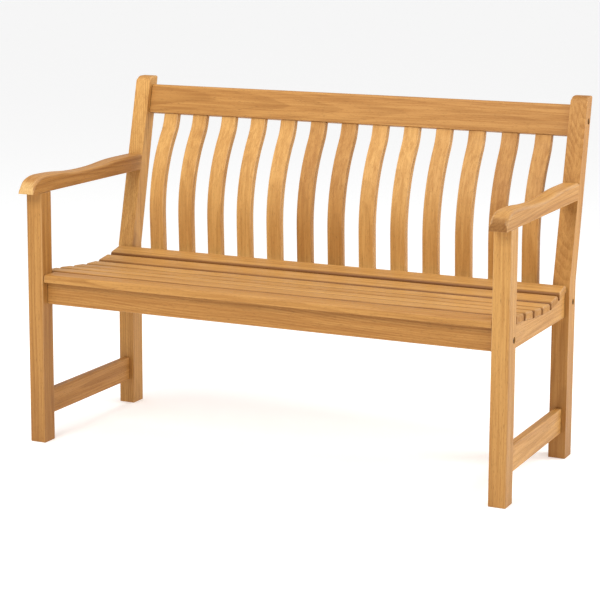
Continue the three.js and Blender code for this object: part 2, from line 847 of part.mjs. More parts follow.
for (const [rail, place] of Object.entries(boltPlaces)) {
  for (const [sideName, side] of sides) {
    addPiece(`${rail}_rail_bolt_${sideName}`, railBolt(place, side), steel);
    addPiece(`${rail}_barrel_nut_${sideName}`, barrelNut(place, side, nutAxes[rail]), steel);
  }
}

// ---------------------------------------------------------------- slat screws
for (const place of screwPlaces) {
  const head = screwHeadAt(place);
  const length = screwGrip + screwBite;
  const profile = [
    [0, 0],
    [screwHeadDiameter / 2, 0],
    [screwHeadDiameter / 2, screwHeadEdge],
    [screwDiameter / 2, screwHeadHeight],
    [screwDiameter / 2, length - screwTip],
    [0, length],
  ];
  addPiece(place.name, turned(profile, upward, head, screwSides), steel);
}

// ---------------------------------------------------------------- origin
// The layout above starts at the front of the legs; the origin is midway from nose to back.
bench.position.y = -(postRearAt(backHeight) - armNose) / 2;

export default bench;
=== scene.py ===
import math
import random

import bmesh
import bpy
from mathutils import Matrix, Vector


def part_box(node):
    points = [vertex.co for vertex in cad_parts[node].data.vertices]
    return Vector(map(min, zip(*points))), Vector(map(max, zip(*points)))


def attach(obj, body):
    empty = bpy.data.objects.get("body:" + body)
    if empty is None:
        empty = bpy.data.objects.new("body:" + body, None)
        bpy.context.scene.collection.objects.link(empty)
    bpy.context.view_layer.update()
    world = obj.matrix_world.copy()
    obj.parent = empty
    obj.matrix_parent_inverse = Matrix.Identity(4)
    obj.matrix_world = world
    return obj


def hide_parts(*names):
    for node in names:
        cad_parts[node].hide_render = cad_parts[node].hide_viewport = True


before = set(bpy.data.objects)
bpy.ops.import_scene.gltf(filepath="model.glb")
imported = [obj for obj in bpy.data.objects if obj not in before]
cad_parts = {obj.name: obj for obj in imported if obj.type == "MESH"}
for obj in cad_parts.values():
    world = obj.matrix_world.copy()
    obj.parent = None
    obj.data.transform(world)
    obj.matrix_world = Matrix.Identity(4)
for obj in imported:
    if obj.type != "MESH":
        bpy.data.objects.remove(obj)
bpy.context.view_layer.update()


# ---------------------------------------------------------------- the studio
# A white studio ground, open to a white surround. The bench stands in soft daylight from its
# front and from above, with soft panels off its right-hand end and behind it. A small lamp
# behind that end picks out the outer edges of the right-hand legs.
ground_half_width = 45.0
ground_glow = 0.25
surround_fill = 0.72
camera_place = (2.0078, -4.295, 1.3606)
camera_turn = 25.195
camera_pitch = 9.481
camera_roll = 0.28
camera_lens = 113.36
camera_shift = -0.12


def colour(red, green, blue):
    """A colour as read off a paint card (0 to 255), turned into light values."""
    shares = [value / 255 for value in (red, green, blue)]
    return tuple(s / 12.92 if s <= 0.04045 else ((s + 0.055) / 1.055) ** 2.4 for s in shares)


def put_in_scene(name, data):
    """A new object on the scene's own collection, at the origin."""
    made = bpy.data.objects.new(name, data)
    bpy.context.scene.collection.objects.link(made)
    return made


def object_of(name, shell):
    """An object made from a worked shell, which is then let go."""
    mesh = bpy.data.meshes.new(name)
    shell.to_mesh(mesh)
    shell.free()
    return put_in_scene(name, mesh)


def discard(tool):
    """Clears away an object that only served to make others."""
    mesh = tool.data
    bpy.data.objects.remove(tool)
    bpy.data.meshes.remove(mesh)


def middle_of(node_name):
    low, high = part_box(node_name)
    return (low + high) / 2


def studio_ground():
    mesh = bpy.data.meshes.new("studio_ground")
    reach = ground_half_width
    corners = [(-reach, -reach, 0), (reach, -reach, 0), (reach, reach, 0), (-reach, reach, 0)]
    mesh.from_pydata(corners, [], [(0, 1, 2, 3)])
    ground = put_in_scene("studio_ground", mesh)
    paint = bpy.data.materials.new("studio_white")
    paint.use_nodes = True
    shader = paint.node_tree.nodes["Principled BSDF"]
    shader.inputs["Base Color"].default_value = (0.93, 0.93, 0.93, 1)
    shader.inputs["Roughness"].default_value = 0.9
    shader.inputs["Specular IOR Level"].default_value = 0.1
    shader.inputs["Emission Color"].default_value = (1, 1, 1, 1)
    shader.inputs["Emission Strength"].default_value = ground_glow
    mesh.materials.append(paint)


def studio_light(name, place, aim, size, power, tint):
    lamp = bpy.data.lights.new(name, "AREA")
    lamp.shape = "RECTANGLE"
    lamp.size, lamp.size_y = size
    lamp.energy = power
    lamp.color = tint
    light = put_in_scene(name, lamp)
    light.location = place
    light.rotation_euler = (Vector(aim) - Vector(place)).to_track_quat("-Z", "Y").to_euler()
    light.visible_camera = False


studio_ground()
studio_light("daylight_front", (-0.5, -2.7, 2.7), (-0.1, 0.0, 0.5), (1.5, 1.2), 60, (1.0, 0.99, 0.98))
studio_light("daylight_above", (-0.3, -0.4, 2.7), (-0.1, 0.0, 0.4), (2.4, 1.0), 24, (1.0, 1.0, 1.0))
studio_light("panel_right", (2.3, -0.9, 0.9), (0.6, 0.0, 0.6), (0.9, 1.0), 5, (1.0, 0.99, 0.97))
studio_light("panel_behind", (2.4, 2.2, 1.9), (0.4, 0.1, 0.7), (1.6, 1.4), 9, (1.0, 1.0, 1.0))
studio_light("rim_right", (1.8, 0.9, 1.35), (0.65, 0.28, 0.78), (0.5, 0.9), 16, (1.0, 1.0, 0.99))

surround = bpy.data.worlds.new("white_surround")
surround.use_nodes = True
sky = surround.node_tree.nodes["Background"]
sky.inputs["Color"].default_value = (1.0, 1.0, 1.0, 1)
seen_directly = surround.node_tree.nodes.new("ShaderNodeLightPath").outputs["Is Camera Ray"]
brightness = surround.node_tree.nodes.new("ShaderNodeMapRange")
brightness.inputs["To Min"].default_value = surround_fill
brightness.inputs["To Max"].default_value = 1.0
surround.node_tree.links.new(seen_directly, brightness.inputs["Value"])
surround.node_tree.links.new(brightness.outputs["Result"], sky.inputs["Strength"])
bpy.context.scene.world = surround
bpy.context.scene.view_settings.view_transform = "Standard"

camera = put_in_scene("camera", bpy.data.cameras.new("camera"))
camera.data.lens = camera_lens
camera.data.sensor_width = 36.0
camera.data.shift_y = camera_shift
camera.matrix_world = (
    Matrix.Translation(camera_place)
    @ Matrix.Rotation(math.radians(camera_turn), 4, "Z")
    @ Matrix.Rotation(math.radians(90 - camera_pitch), 4, "X")
    @ Matrix.Rotation(math.radians(camera_roll), 4, "Z")
)
bpy.context.scene.camera = camera


# ---------------------------------------------------------------- front legs
# Two straight square-sawn legs of oiled hardwood. Their arrises are eased with sandpaper, and
# each has a counterbored hole on its outer face for the bolt of the front seat rail.
arris_ease = 0.0022
pinched_edge = 0.0002
bolt_hole_radius = 0.008
bolt_hole_depth = 0.008
bolt_bore_radius = 0.0043
bore_breakout = 0.001
timber_pale = colour(197, 149, 83)
timber_dark = colour(157, 108, 47)
timber_pore = colour(98, 60, 20)
sawn_lots = random.Random(11)
chosen_tones = {
    "front_leg_left": -0.45, "front_leg_right": 0.15, "back_leg_left": 0.55, "back_leg_right": -0.5,
    "front_seat_rail": -0.95, "top_rail": -0.7, "arm_left": -0.7, "arm_right": -0.15,
}
# Painted shade on the points nearest the ground, darker towards the ground.
foot_shade = 0.32
foot_shade_height = 0.01
log_reach = 6
heart_nearest = 0.035
heart_furthest = 0.11
tone_spread = 0.8
bore_sides = 28
bore_overshoot = 0.002
ring_bend = 4.0
ring_unevenness = 2.2
broad_tint = (0.80, 0.70, 0.58)
thread_tint = (0.68, 0.57, 0.44)
# Pale tint of eased arrises: partly sanding wear, partly a painted highlight.
wear_and_highlight_tint = (1.0, 0.86, 0.66)
darkest_board = (0.82, 0.74, 0.64)
palest_board = (1.10, 1.12, 1.16)
# Tint of the painted shade in the gaps between seat slats and at the feet of the legs.
painted_shade_tint = (0.42, 0.31, 0.20)
pore_share = 0.42
wear_and_highlight_share = 0.3
timber_gloss = 0.26
relief_strength = 0.35
relief_depth = 0.0003


def add_node(tree, kind, **settings):
    made = tree.nodes.new(kind)
    for name, value in settings.items():
        setattr(made, name, value)
    return made


def feed(tree, socket, source):
    """Joins an output to an input, or sets the input to a plain value."""
    if isinstance(source, bpy.types.NodeSocket):
        tree.links.new(source, socket)
    else:
        socket.default_value = source


def wired(tree, kind, sources, **settings):
    """A new node with its inputs joined or set; sources are {name or number of an input: source}."""
    made = add_node(tree, kind, **settings)
    for label, source in sources.items():
        feed(tree, made.inputs[label], source)
    return made


def maths(tree, operation, first, second=0.0, third=0.0):
    sources = {0: first, 1: second, 2: third}
    return wired(tree, "ShaderNodeMath", sources, operation=operation).outputs[0]


def ramp_between(tree, value, low, high, to_low=0.0, to_high=1.0):
    """Eases a value from one stretch to another, without overshoot."""
    made = add_node(tree, "ShaderNodeMapRange", interpolation_type="SMOOTHSTEP")
    for socket, source in zip(made.inputs[:5], (value, low, high, to_low, to_high)):
        feed(tree, socket, source)
    return made.outputs["Result"]


def stretched_noise(tree, vector, along, across, detail=2.0, rough=0.5):
    """Noise drawn out along the grain; `along` and `across` are its waves per metre."""
    sources = {0: vector, 1: (along, across, across)}
    scaled = wired(tree, "ShaderNodeVectorMath", sources, operation="MULTIPLY")
    sources = {"Vector": scaled.outputs[0], "Scale": 1.0, "Detail": detail, "Roughness": rough}
    return wired(tree, "ShaderNodeTexNoise", sources).outputs["Fac"]


def mixed(tree, share, first, second, how="MIX"):
    made = add_node(tree, "ShaderNodeMix", data_type="RGBA", blend_type=how)
    feed(tree, made.inputs["Factor"], share)
    feed(tree, made.inputs["A"], first if not isinstance(first, tuple) else (*first[:3], 1.0))
    feed(tree, made.inputs["B"], second if not isinstance(second, tuple) else (*second[:3], 1.0))
    return made.outputs["Result"]


def new_group(name, takes, gives):
    """An empty shader group; takes and gives are (name, kind, default) and (name, kind)."""
    group = bpy.data.node_groups.new(name, "ShaderNodeTree")
    for label, kind, default in takes:
        socket = group.interface.new_socket(label, in_out="INPUT", socket_type=kind)
        if default is not None:
            socket.default_value = default
    for label, kind in gives:
        group.interface.new_socket(label, in_out="OUTPUT", socket_type=kind)
    return group, add_node(group, "NodeGroupInput").outputs, add_node(group, "NodeGroupOutput").inputs


def growth_rings_group():
    """Growth rings of a log whose heart runs along X: bands that a saw cut opens into figure."""
    group, given, made = new_group(
        "Growth rings",
        [("Place", "NodeSocketVector", None), ("Ring width", "NodeSocketFloat", 0.006),
         ("Wander", "NodeSocketFloat", 0.012), ("Taper", "NodeSocketFloat", 0.02)],
        [("Late wood", "NodeSocketFloat"), ("Broad tone", "NodeSocketFloat")],
    )
    apart = wired(group, "ShaderNodeSeparateXYZ", {0: given["Place"]})

    def squared_offset(axis, along, across):
        """How far the heart of the log lies off to one side, squared, as it wanders."""
        drift = stretched_noise(group, given["Place"], along, across, detail=1.0)
        drift = maths(group, "MULTIPLY", maths(group, "SUBTRACT", drift, 0.5), given["Wander"])
        offset = maths(group, "ADD", apart.outputs[axis], maths(group, "MULTIPLY", drift, ring_bend))
        return maths(group, "MULTIPLY", offset, offset)

    spread = maths(group, "ADD", squared_offset("Y", 1.1, 4.0), squared_offset("Z", 1.5, 6.0))
    radius = maths(group, "SQRT", spread)
    radius = maths(group, "ADD", radius, maths(group, "MULTIPLY", apart.outputs["X"], given["Taper"]))
    uneven = stretched_noise(group, given["Place"], 0.6, 22.0, detail=1.0)
    count = maths(group, "ADD", maths(group, "DIVIDE", radius, given["Ring width"]),
                  maths(group, "MULTIPLY", uneven, ring_unevenness))
    within = maths(group, "FRACT", count)
    late = maths(group, "MULTIPLY", ramp_between(group, within, 0.15, 0.86),
                 ramp_between(group, within, 0.88, 1.0, 1.0, 0.0))
    strength = ramp_between(group, stretched_noise(group, given["Place"], 0.9, 30.0, detail=1.0),
                            0.34, 0.66, 0.25, 1.0)
    feed(group, made["Late wood"], maths(group, "MULTIPLY", late, strength))
    feed(group, made["Broad tone"], stretched_noise(group, given["Place"], 1.3, 34.0, detail=3.0))
    return group


def fibres_group():
    """Fine straight fibres and the short dark pores between them, both drawn out along X."""
    group, given, made = new_group(
        "Fibres and pores",
        [("Place", "NodeSocketVector", None), ("Pore share", "NodeSocketFloat", 0.36)],
        [("Fibre", "NodeSocketFloat"), ("Pore", "NodeSocketFloat"), ("Height", "NodeSocketFloat")],
    )
    fine = stretched_noise(group, given["Place"], 9.0, 420.0, detail=3.0, rough=0.62)
    streak = stretched_noise(group, given["Place"], 3.0, 130.0, detail=2.0)
    fibre = maths(group, "ADD", maths(group, "MULTIPLY", fine, 0.55),
                  maths(group, "MULTIPLY", streak, 0.45))
    dots = stretched_noise(group, given["Place"], 75.0, 1150.0, detail=1.0)
    limit = maths(group, "SUBTRACT", 1.0, given["Pore share"])
    pore = ramp_between(group, dots, limit, maths(group, "ADD", limit, 0.05))
    feed(group, made["Fibre"], fibre)
    feed(group, made["Pore"], pore)
    feed(group, made["Height"], maths(group, "SUBTRACT", fibre, maths(group, "MULTIPLY", pore, 0.6)))
    return group


def end_grain_group():
    """How far a face looks along the log: 1 on a sawn end, 0 on a side."""
    group, given, made = new_group(
        "End grain",
        [("Along", "NodeSocketVector", None)],
        [("Share", "NodeSocketFloat")],
    )
    normal = add_node(group, "ShaderNodeNewGeometry").outputs["Normal"]
    facing = wired(group, "ShaderNodeVectorMath", {0: normal, 1: given["Along"]},
                   operation="DOT_PRODUCT")
    turned = maths(group, "ABSOLUTE", facing.outputs["Value"])
    feed(group, made["Share"], ramp_between(group, turned, 0.45, 0.92))
    return group


def eased_edge_group():
    """Arrises made pale, partly as sanded wood and partly as a painted highlight along the edge, broken
    up by a fine noise.
    """
    group, given, made = new_group(
        "Eased edges",
        [("Place", "NodeSocketVector", None), ("Amount", "NodeSocketFloat", 0.5)],
        [("Rubbed", "NodeSocketFloat")],
    )
    mark = add_node(group, "ShaderNodeAttribute", attribute_name="arris").outputs["Fac"]
    patch = ramp_between(group, stretched_noise(group, given["Place"], 14.0, 60.0, detail=2.0),
                         0.35, 0.65, 0.35, 1.0)
    wear_and_highlight = maths(group, "MULTIPLY", maths(group, "MULTIPLY", mark, patch), given["Amount"])
    feed(group, made["Rubbed"], wear_and_highlight)
    return group


rings = growth_rings_group()
fibres = fibres_group()
end_grain = end_grain_group()
eased_edges = eased_edge_group()


def use_group(tree, group, **values):
    made = add_node(tree, "ShaderNodeGroup", node_tree=group)
    for label, source in values.items():
        feed(tree, made.inputs[label.replace("_", " ")], source)
    return made.outputs


def timber(name, along, turn, ring_width=0.006, wander=0.012, taper=0.02, figure_share=0.5,
           end_share=0.55, end_tint=(0.62, 0.52, 0.42), follows=None):
    """Oiled hardwood whose grain runs the way of `along`; `turn` brings that way onto X.

    `follows` names a piece's own attribute for grain that bends with the piece.
    """
    material = bpy.data.materials.new(name)
    material.use_nodes = True
    tree = material.node_tree
    shader = tree.nodes["Principled BSDF"]
    lot = add_node(tree, "ShaderNodeAttribute", attribute_name="board_shift").outputs["Vector"]
    tone = add_node(tree, "ShaderNodeAttribute", attribute_name="board_tone").outputs["Fac"]
    if follows:
        own = add_node(tree, "ShaderNodeAttribute", attribute_name=follows).outputs["Vector"]
    else:
        own = add_node(tree, "ShaderNodeTexCoord").outputs["Object"]
    moved = wired(tree, "ShaderNodeVectorMath", {0: own, 1: lot}, operation="ADD")
    sources = {"Vector": moved.outputs[0], "Rotation": [math.radians(angle) for angle in turn]}
    place = wired(tree, "ShaderNodeMapping", sources).outputs["Vector"]

    figure = use_group(tree, rings, Place=place, Ring_width=ring_width, Wander=wander, Taper=taper)
    fibre = use_group(tree, fibres, Place=place)
    cut_end = use_group(tree, end_grain, Along=along)["Share"]
    wear_and_highlight = use_group(tree, eased_edges, Place=place)["Rubbed"]

    rings_shown = maths(tree, "MULTIPLY", figure["Late wood"], figure_share)
    body = mixed(tree, rings_shown, timber_pale, timber_dark)
    shade = ramp_between(tree, figure["Broad tone"], 0.36, 0.64, 0.0, 0.34)
    body = mixed(tree, shade, body, mixed(tree, 1.0, body, broad_tint, "MULTIPLY"))
    thread = ramp_between(tree, fibre["Fibre"], 0.40, 0.58, 0.55, 0.0)
    body = mixed(tree, thread, body, mixed(tree, 1.0, body, thread_tint, "MULTIPLY"))
    body = mixed(tree, maths(tree, "MULTIPLY", fibre["Pore"], pore_share), body, timber_pore)
    body = mixed(tree, maths(tree, "MULTIPLY", cut_end, end_share), body,
                 mixed(tree, 1.0, body, end_tint, "MULTIPLY"))
    # Pale arrises: partly sanding wear, partly a painted highlight.
    body = mixed(tree, maths(tree, "MULTIPLY", wear_and_highlight, wear_and_highlight_share), body,
                 mixed(tree, 0.5, body, wear_and_highlight_tint))
    stain = mixed(tree, ramp_between(tree, tone, -1.0, 1.0), darkest_board, palest_board)
    body = mixed(tree, 1.0, body, stain, "MULTIPLY")
    # Painted shade: this attribute darkens the colour where shade falls, in the seat gaps and towards the
    # ground.
    shade_paint = add_node(tree, "ShaderNodeAttribute", attribute_name="painted_shade").outputs["Fac"]
    body = mixed(tree, shade_paint, body, mixed(tree, 1.0, body, painted_shade_tint, "MULTIPLY"))
    feed(tree, shader.inputs["Base Color"], body)

    sheen = ramp_between(tree, fibre["Fibre"], 0.3, 0.7, 0.56, 0.44)
    dull = maths(tree, "ADD", sheen, maths(tree, "MULTIPLY", cut_end, 0.2))
    feed(tree, shader.inputs["Roughness"], dull)
    shader.inputs["Specular IOR Level"].default_value = timber_gloss
    sources = {"Strength": relief_strength, "Distance": relief_depth, "Height": fibre["Height"]}
    relief = wired(tree, "ShaderNodeBump", sources)
    feed(tree, shader.inputs["Normal"], relief.outputs["Normal"])
    return material


upright_timber = timber("upright_timber", (0, 0, 1), (0, 90, 0))


def merged_copy(node_name):
    """The loose triangles of a frame node as one joined-up shell."""
    shell = bmesh.new()
    shell.from_mesh(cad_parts[node_name].data)
    bmesh.ops.remove_doubles(shell, verts=shell.verts, dist=1e-5)
    return shell


def x_span(node_name):
    """The shoulders of a timber: where its full section starts and ends along X."""
    shell = merged_copy(node_name)
    flat = {}
    for face in shell.faces:
        if abs(face.normal.x) > 0.9999:
            x = round(face.calc_center_median().x, 4)
            flat[x] = flat.get(x, 0.0) + face.calc_area()
    shell.free()
    broad = max(flat.values())
    faces = [x for x, area in flat.items() if area > 0.5 * broad]
    return min(faces), max(faces)


def side_outline(node_name):
    """The (y, z) outline of a sawn piece, read off the flat side or shoulder at one end of X."""
    side = max(x_span(node_name), key=abs)
    shell = merged_copy(node_name)
    flat = [f for f in shell.faces if all(abs(v.co.x - side) < 1e-4 for v in f.verts)]
    rim = {}
    for face in flat:
        for loop in face.loops:
            if sum(1 for f in loop.edge.link_faces if f in flat) == 1:
                rim[loop.vert.index] = loop.link_loop_next.vert.index
    shell.verts.ensure_lookup_table()
    loops = []
    while rim:
        start, following = rim.popitem()
        ring = [start]
        while following != start:
            ring.append(following)
            following = rim.pop(following)
        loops.append([(shell.verts[i].co.y, shell.verts[i].co.z) for i in ring])
    shell.free()
    return tidy_outline(max(loops, key=lambda ring: abs(area_of(ring))))


def area_of(ring):
    pairs = zip(ring, ring[1:] + ring[:1])
    return sum(a[0] * b[1] - b[0] * a[1] for a, b in pairs) / 2


def turn_at(before, here, after):
    """How far an outline turns at a point, in degrees."""
    first = Vector(here) - Vector(before)
    second = Vector(after) - Vector(here)
    return math.degrees(abs(first.angle_signed(second)))


def tidy_outline(ring):
    """Drops points in the middle of straight runs, and puts the outline anticlockwise."""
    if area_of(ring) < 0:
        ring = ring[::-1]
    kept = []
    for i, point in enumerate(ring):
        if turn_at(ring[i - 1], point, ring[(i + 1) % len(ring)]) > 0.3:
            kept.append(point)
    return kept


def faired(ring, corner=24.0, steps=3, longest=0.06):
    """Rounds off the flats of a sawn curve: short runs that turn gently become one smooth line."""
    count = len(ring)
    smooth = [turn_at(ring[i - 1], ring[i], ring[(i + 1) % count]) < corner for i in range(count)]
    made = []
    for i in range(count):
        start, end = Vector(ring[i]), Vector(ring[(i + 1) % count])
        made.append(tuple(start))
        span = (end - start).length
        if span > longest or not (smooth[i] or smooth[(i + 1) % count]):
            continue
        before = Vector(ring[i - 1])
        after = Vector(ring[(i + 2) % count])
        lead_in = (end - before).normalized() * span if smooth[i] else end - start
        lead_out = (after - start).normalized() * span if smooth[(i + 1) % count] else end - start
        for step in range(1, steps):
            t = step / steps
            made.append(tuple(
                start * (2 * t**3 - 3 * t**2 + 1) + lead_in * (t**3 - 2 * t**2 + t)
                + end * (3 * t**2 - 2 * t**3) + lead_out * (t**3 - t**2)
            ))
    return made


def sawn_shell(ring, x_start, x_end):
    """A board: an outline in (y, z) carried along X, with a face on each side and end."""
    shell = bmesh.new()
    near = [shell.verts.new((x_start, y, z)) for y, z in ring]
    far = [shell.verts.new((x_end, y, z)) for y, z in ring]
    shell.faces.new(near[::-1])
    shell.faces.new(far)
    for i in range(len(ring)):
        j = (i + 1) % len(ring)
        shell.faces.new((near[i], near[j], far[j], far[i]))
    bmesh.ops.recalc_face_normals(shell, faces=shell.faces)
    return shell


def ease_arrises(shell, width, sharper_than=30.0, steps=3, above=-1.0, clamp=True):
    """Sands every sharp edge above a height to a round, and marks the new faces as eased."""
    mark = shell.loops.layers.float.get("arris") or shell.loops.layers.float.new("arris")
    sharp = [e for e in shell.edges
             if len(e.link_faces) == 2 and math.degrees(e.calc_face_angle()) > sharper_than
             and min(v.co.z for v in e.verts) > above]
    made = bmesh.ops.bevel(
        shell, geom=sharp, offset=width, offset_type="OFFSET", segments=steps, profile=0.5,
        affect="EDGES", clamp_overlap=clamp, material=-1,
    )
    for face in made["faces"]:
        for loop in face.loops:
            loop[mark] = 1.0


def flush_with(shell, low, high):
    """Planes off what an unclamped ease pushed past the board, and joins its pinched corners."""
    for vert in shell.verts:
        for axis in range(3):
            vert.co[axis] = min(max(vert.co[axis], low[axis]), high[axis])
    bmesh.ops.remove_doubles(shell, verts=shell.verts, dist=pinched_edge)
    bmesh.ops.dissolve_degenerate(shell, edges=shell.edges, dist=pinched_edge)


def drilled(piece, holes):
    """Bores round holes; each is (middle of its mouth, direction inwards, radius, depth)."""
    if not holes:
        return
    cutter_shell = bmesh.new()
    for mouth, inwards, radius, depth in holes:
        middle = Vector(mouth) + Vector(inwards) * (depth - bore_overshoot) / 2
        upright = Vector(inwards).to_track_quat("Z", "Y").to_matrix().to_4x4()
        bmesh.ops.create_cone(
            cutter_shell, cap_ends=True, segments=bore_sides, radius1=radius, radius2=radius,
            depth=depth + bore_overshoot, matrix=Matrix.Translation(middle) @ upright,
        )
    cut_away(piece, object_of("cutter", cutter_shell), True)


def cut_away(piece, cutter, overlapping):
    """Takes the solid of a cutter out of a piece; its own solids may overlap each other."""
    cut = piece.modifiers.new("cut", "BOOLEAN")
    cut.operation = "DIFFERENCE"
    cut.solver = "EXACT"
    cut.use_self = overlapping
    cut.object = cutter
    settle(piece)
    discard(cutter)


def settle(piece):
    """Turns a piece and its modifiers into one plain mesh."""
    bpy.context.view_layer.update()
    seen = piece.evaluated_get(bpy.context.evaluated_depsgraph_get())
    plain = bpy.data.meshes.new_from_object(seen)
    piece.modifiers.clear()
    piece.data = plain


def smooth_faces(piece, crease=34.0):
    """Soft shading over eased arrises, with the broad faces kept flat."""
    piece.data.polygons.foreach_set("use_smooth", [True] * len(piece.data.polygons))
    piece.data.set_sharp_from_angle(angle=math.radians(crease))
    weigh = piece.modifiers.new("flat_faces", "WEIGHTED_NORMAL")
    weigh.keep_sharp = True
    weigh.weight = 100
    settle(piece)


def mark_board(piece, node_name, centre):
    """Gives a board its own place in a log, and its own tone; its lowest points get painted shade."""
    along = sawn_lots.uniform(-log_reach, log_reach)
    off_heart = sawn_lots.uniform(heart_nearest, heart_furthest)
    bearing = sawn_lots.uniform(0, 2 * math.pi)
    heart = {
        "upright": (off_heart * math.cos(bearing), off_heart * math.sin(bearing), along),
        "deep": (off_heart * math.cos(bearing), along, off_heart * math.sin(bearing)),
        "long": (along, off_heart * math.cos(bearing), off_heart * math.sin(bearing)),
    }[piece["grain"]]
    shift = [h - c for h, c in zip(heart, centre)]
    tone = chosen_tones.get(node_name, sawn_lots.uniform(-tone_spread, tone_spread))
    count = len(piece.data.vertices)
    place = piece.data.attributes.new("board_shift", "FLOAT_VECTOR", "POINT")
    place.data.foreach_set("vector", shift * count)
    stain = piece.data.attributes.new("board_tone", "FLOAT", "POINT")
    stain.data.foreach_set("value", [tone] * count)
    # Painted shade near the ground.
    shade_paint = piece.data.attributes.new("painted_shade", "FLOAT", "POINT")
    shade_paint.data.foreach_set("value", [foot_shade * (v.co.z < foot_shade_height) for v in piece.data.vertices])


def sawn_piece(name, node_name, grain, material, ease=arris_ease, holes=(),
               top_ease=0.0, above=None):
    """One timber of the frame, cut to the outline and length of its frame node."""
    low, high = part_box(node_name)
    shell = sawn_shell(faired(side_outline(node_name)), *x_span(node_name))
    if top_ease:
        start = high.z - 2 * top_ease if above is None else above
        ease_arrises(shell, top_ease, steps=4, above=start, clamp=False)
        flush_with(shell, low, high)
    ease_arrises(shell, ease)
    piece = object_of(name, shell)
    piece["grain"] = grain
    drilled(piece, holes)
    smooth_faces(piece)
    mark_board(piece, node_name, (low + high) / 2)
    piece.data.materials.clear()
    piece.data.materials.append(material)
    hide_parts(node_name)
    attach(piece, "root")
    return piece


sides = (("left", -1), ("right", 1))


def bolt_bores(rail, side_name, side):
    """The counterbore on the outer face of a leg, and the bore of the bolt right through it."""
    leg_low, leg_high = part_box("front_leg_right")
    middle = middle_of(rail + "_rail_bolt_" + side_name)
    mouth = (side * leg_high.x, middle.y, middle.z)
    inwards = (-side, 0, 0)
    through = leg_high.x - leg_low.x + bore_breakout
    return [(mouth, inwards, bolt_hole_radius, bolt_hole_depth),
            (mouth, inwards, bolt_bore_radius, through)]


for side_name, side in sides:
    sawn_piece(
        "front_leg_" + side_name + "_timber", "front_leg_" + side_name, "upright", upright_timber,
        holes=bolt_bores("front", side_name, side),
    )


# ---------------------------------------------------------------- back legs
# Two tall legs sawn to a bend, so that their tops lean back, with the grain running straight
# through. The top is rounded over at the front, and two bolts enter from the outer face.
post_top_ease = 0.0045
for side_name, side in sides:
    sawn_piece(
        "back_leg_" + side_name + "_timber", "back_leg_" + side_name, "upright", upright_timber,
        holes=bolt_bores("rear", side_name, side) + bolt_bores("top", side_name, side),
        top_ease=post_top_ease,
    )


# ---------------------------------------------------------------- side rails and stretchers
# Each side frame has a seat rail with its top edge sawn to the scoop of the seat, and a plain
# stretcher near the ground, both tenoned into the legs.
deep_timber = timber("front_to_back_timber", (0, 1, 0), (0, 0, -90))
screw_head_height = 0.0032
screw_recess_radius = 0.0047


def screw_recesses(names, mouth_height):
    """The blind holes below the slats that take the heads of the slat screws."""
    holes = []
    for name in names:
        middle = middle_of(name)
        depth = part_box(name)[0].z + screw_head_height - mouth_height
        holes.append(((middle.x, middle.y, mouth_height), (0, 0, 1), screw_recess_radius, depth))
    return holes


seat_rail_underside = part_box("side_seat_rail_left")[0].z
for side_name, side in sides:
    screws = ["slat_screw_" + str(i) + "_" + side_name for i in range(2, 8)]
    sawn_piece(
        "side_seat_rail_" + side_name + "_timber", "side_seat_rail_" + side_name, "deep",
        deep_timber, holes=screw_recesses(screws, seat_rail_underside),
    )
    sawn_piece(
        "low_stretcher_" + side_name + "_timber", "low_stretcher_" + side_name, "deep", deep_timber,
    )


# ---------------------------------------------------------------- arms
# Two thick arms, hollowed a little along the top and rounded over at the nose. The sawn end
# of the grain shows there, made pale on the left arm by a painted highlight and dark on the
# right one by painted shade. Each sits on its front leg and runs into the back leg.
arm_top_ease = 0.007
arm_under_edge = 0.006
# The end-grain tints are painted light: a pale painted highlight on the left nose, dark painted shade on
# the right one.
lit_and_shaded_arm_timbers = {
    "left": timber("arm_timber_left", (0, 1, 0), (0, 0, -90), end_share=0.8, end_tint=(1.5, 2.0, 3.3)),
    "right": timber("arm_timber_right", (0, 1, 0), (0, 0, -90), end_share=0.9,
                    end_tint=(0.48, 0.40, 0.32)),
}
for side_name, side in sides:
    arm = "arm_" + side_name
    sawn_piece(arm + "_timber", arm, "deep", lit_and_shaded_arm_timbers[side_name], top_ease=arm_top_ease,
               above=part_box(arm)[0].z + arm_under_edge)


# ---------------------------------------------------------------- seat rails and bearer
# A front and a rear seat rail are bolted between the side frames, and a bearer is tenoned
# between them under the middle of the slats. Barrel nuts sit in bores from the rear faces.
long_timber = timber("long_timber", (1, 0, 0), (0, 0, 0))
nut_bore_radius = 0.0068
nut_clearance = 0.0003
bolt_end_room = 0.0006


def rail_bores(rail, node_name):
    """The bores at both ends of a rail: one for each bolt, and one across it for its nut."""
    ring = side_outline(node_name)
    edges = zip(ring, ring[1:] + ring[:1])
    start, end = max(edges, key=lambda edge: (Vector(edge[1]) - Vector(edge[0])).length
                     + 0.01 * (edge[0][0] + edge[1][0]))
    outwards = Vector((0, end[1] - start[1], start[0] - end[0])).normalized()
    reach = x_span(node_name)[1]
    holes = []
    for side_name, side in sides:
        middle = middle_of(rail + "_barrel_nut_" + side_name)
        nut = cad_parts[rail + "_barrel_nut_" + side_name].data
        to_face = (Vector((middle.x, *start)) - middle).dot(outwards)
        to_front = max((middle - v.co).dot(outwards) for v in nut.vertices)
        mouth = middle + outwards * to_face
        holes.append((mouth, -outwards, nut_bore_radius, to_face + to_front + nut_clearance))
        bolt_low, bolt_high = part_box(rail + "_rail_bolt_" + side_name)
        bolt_end = min(abs(bolt_low.x), abs(bolt_high.x))
        bolt = (bolt_low + bolt_high) / 2
        holes.append(((side * reach, bolt.y, bolt.z), (-side, 0, 0), bolt_bore_radius,
                      reach - bolt_end + bolt_end_room))
    return holes


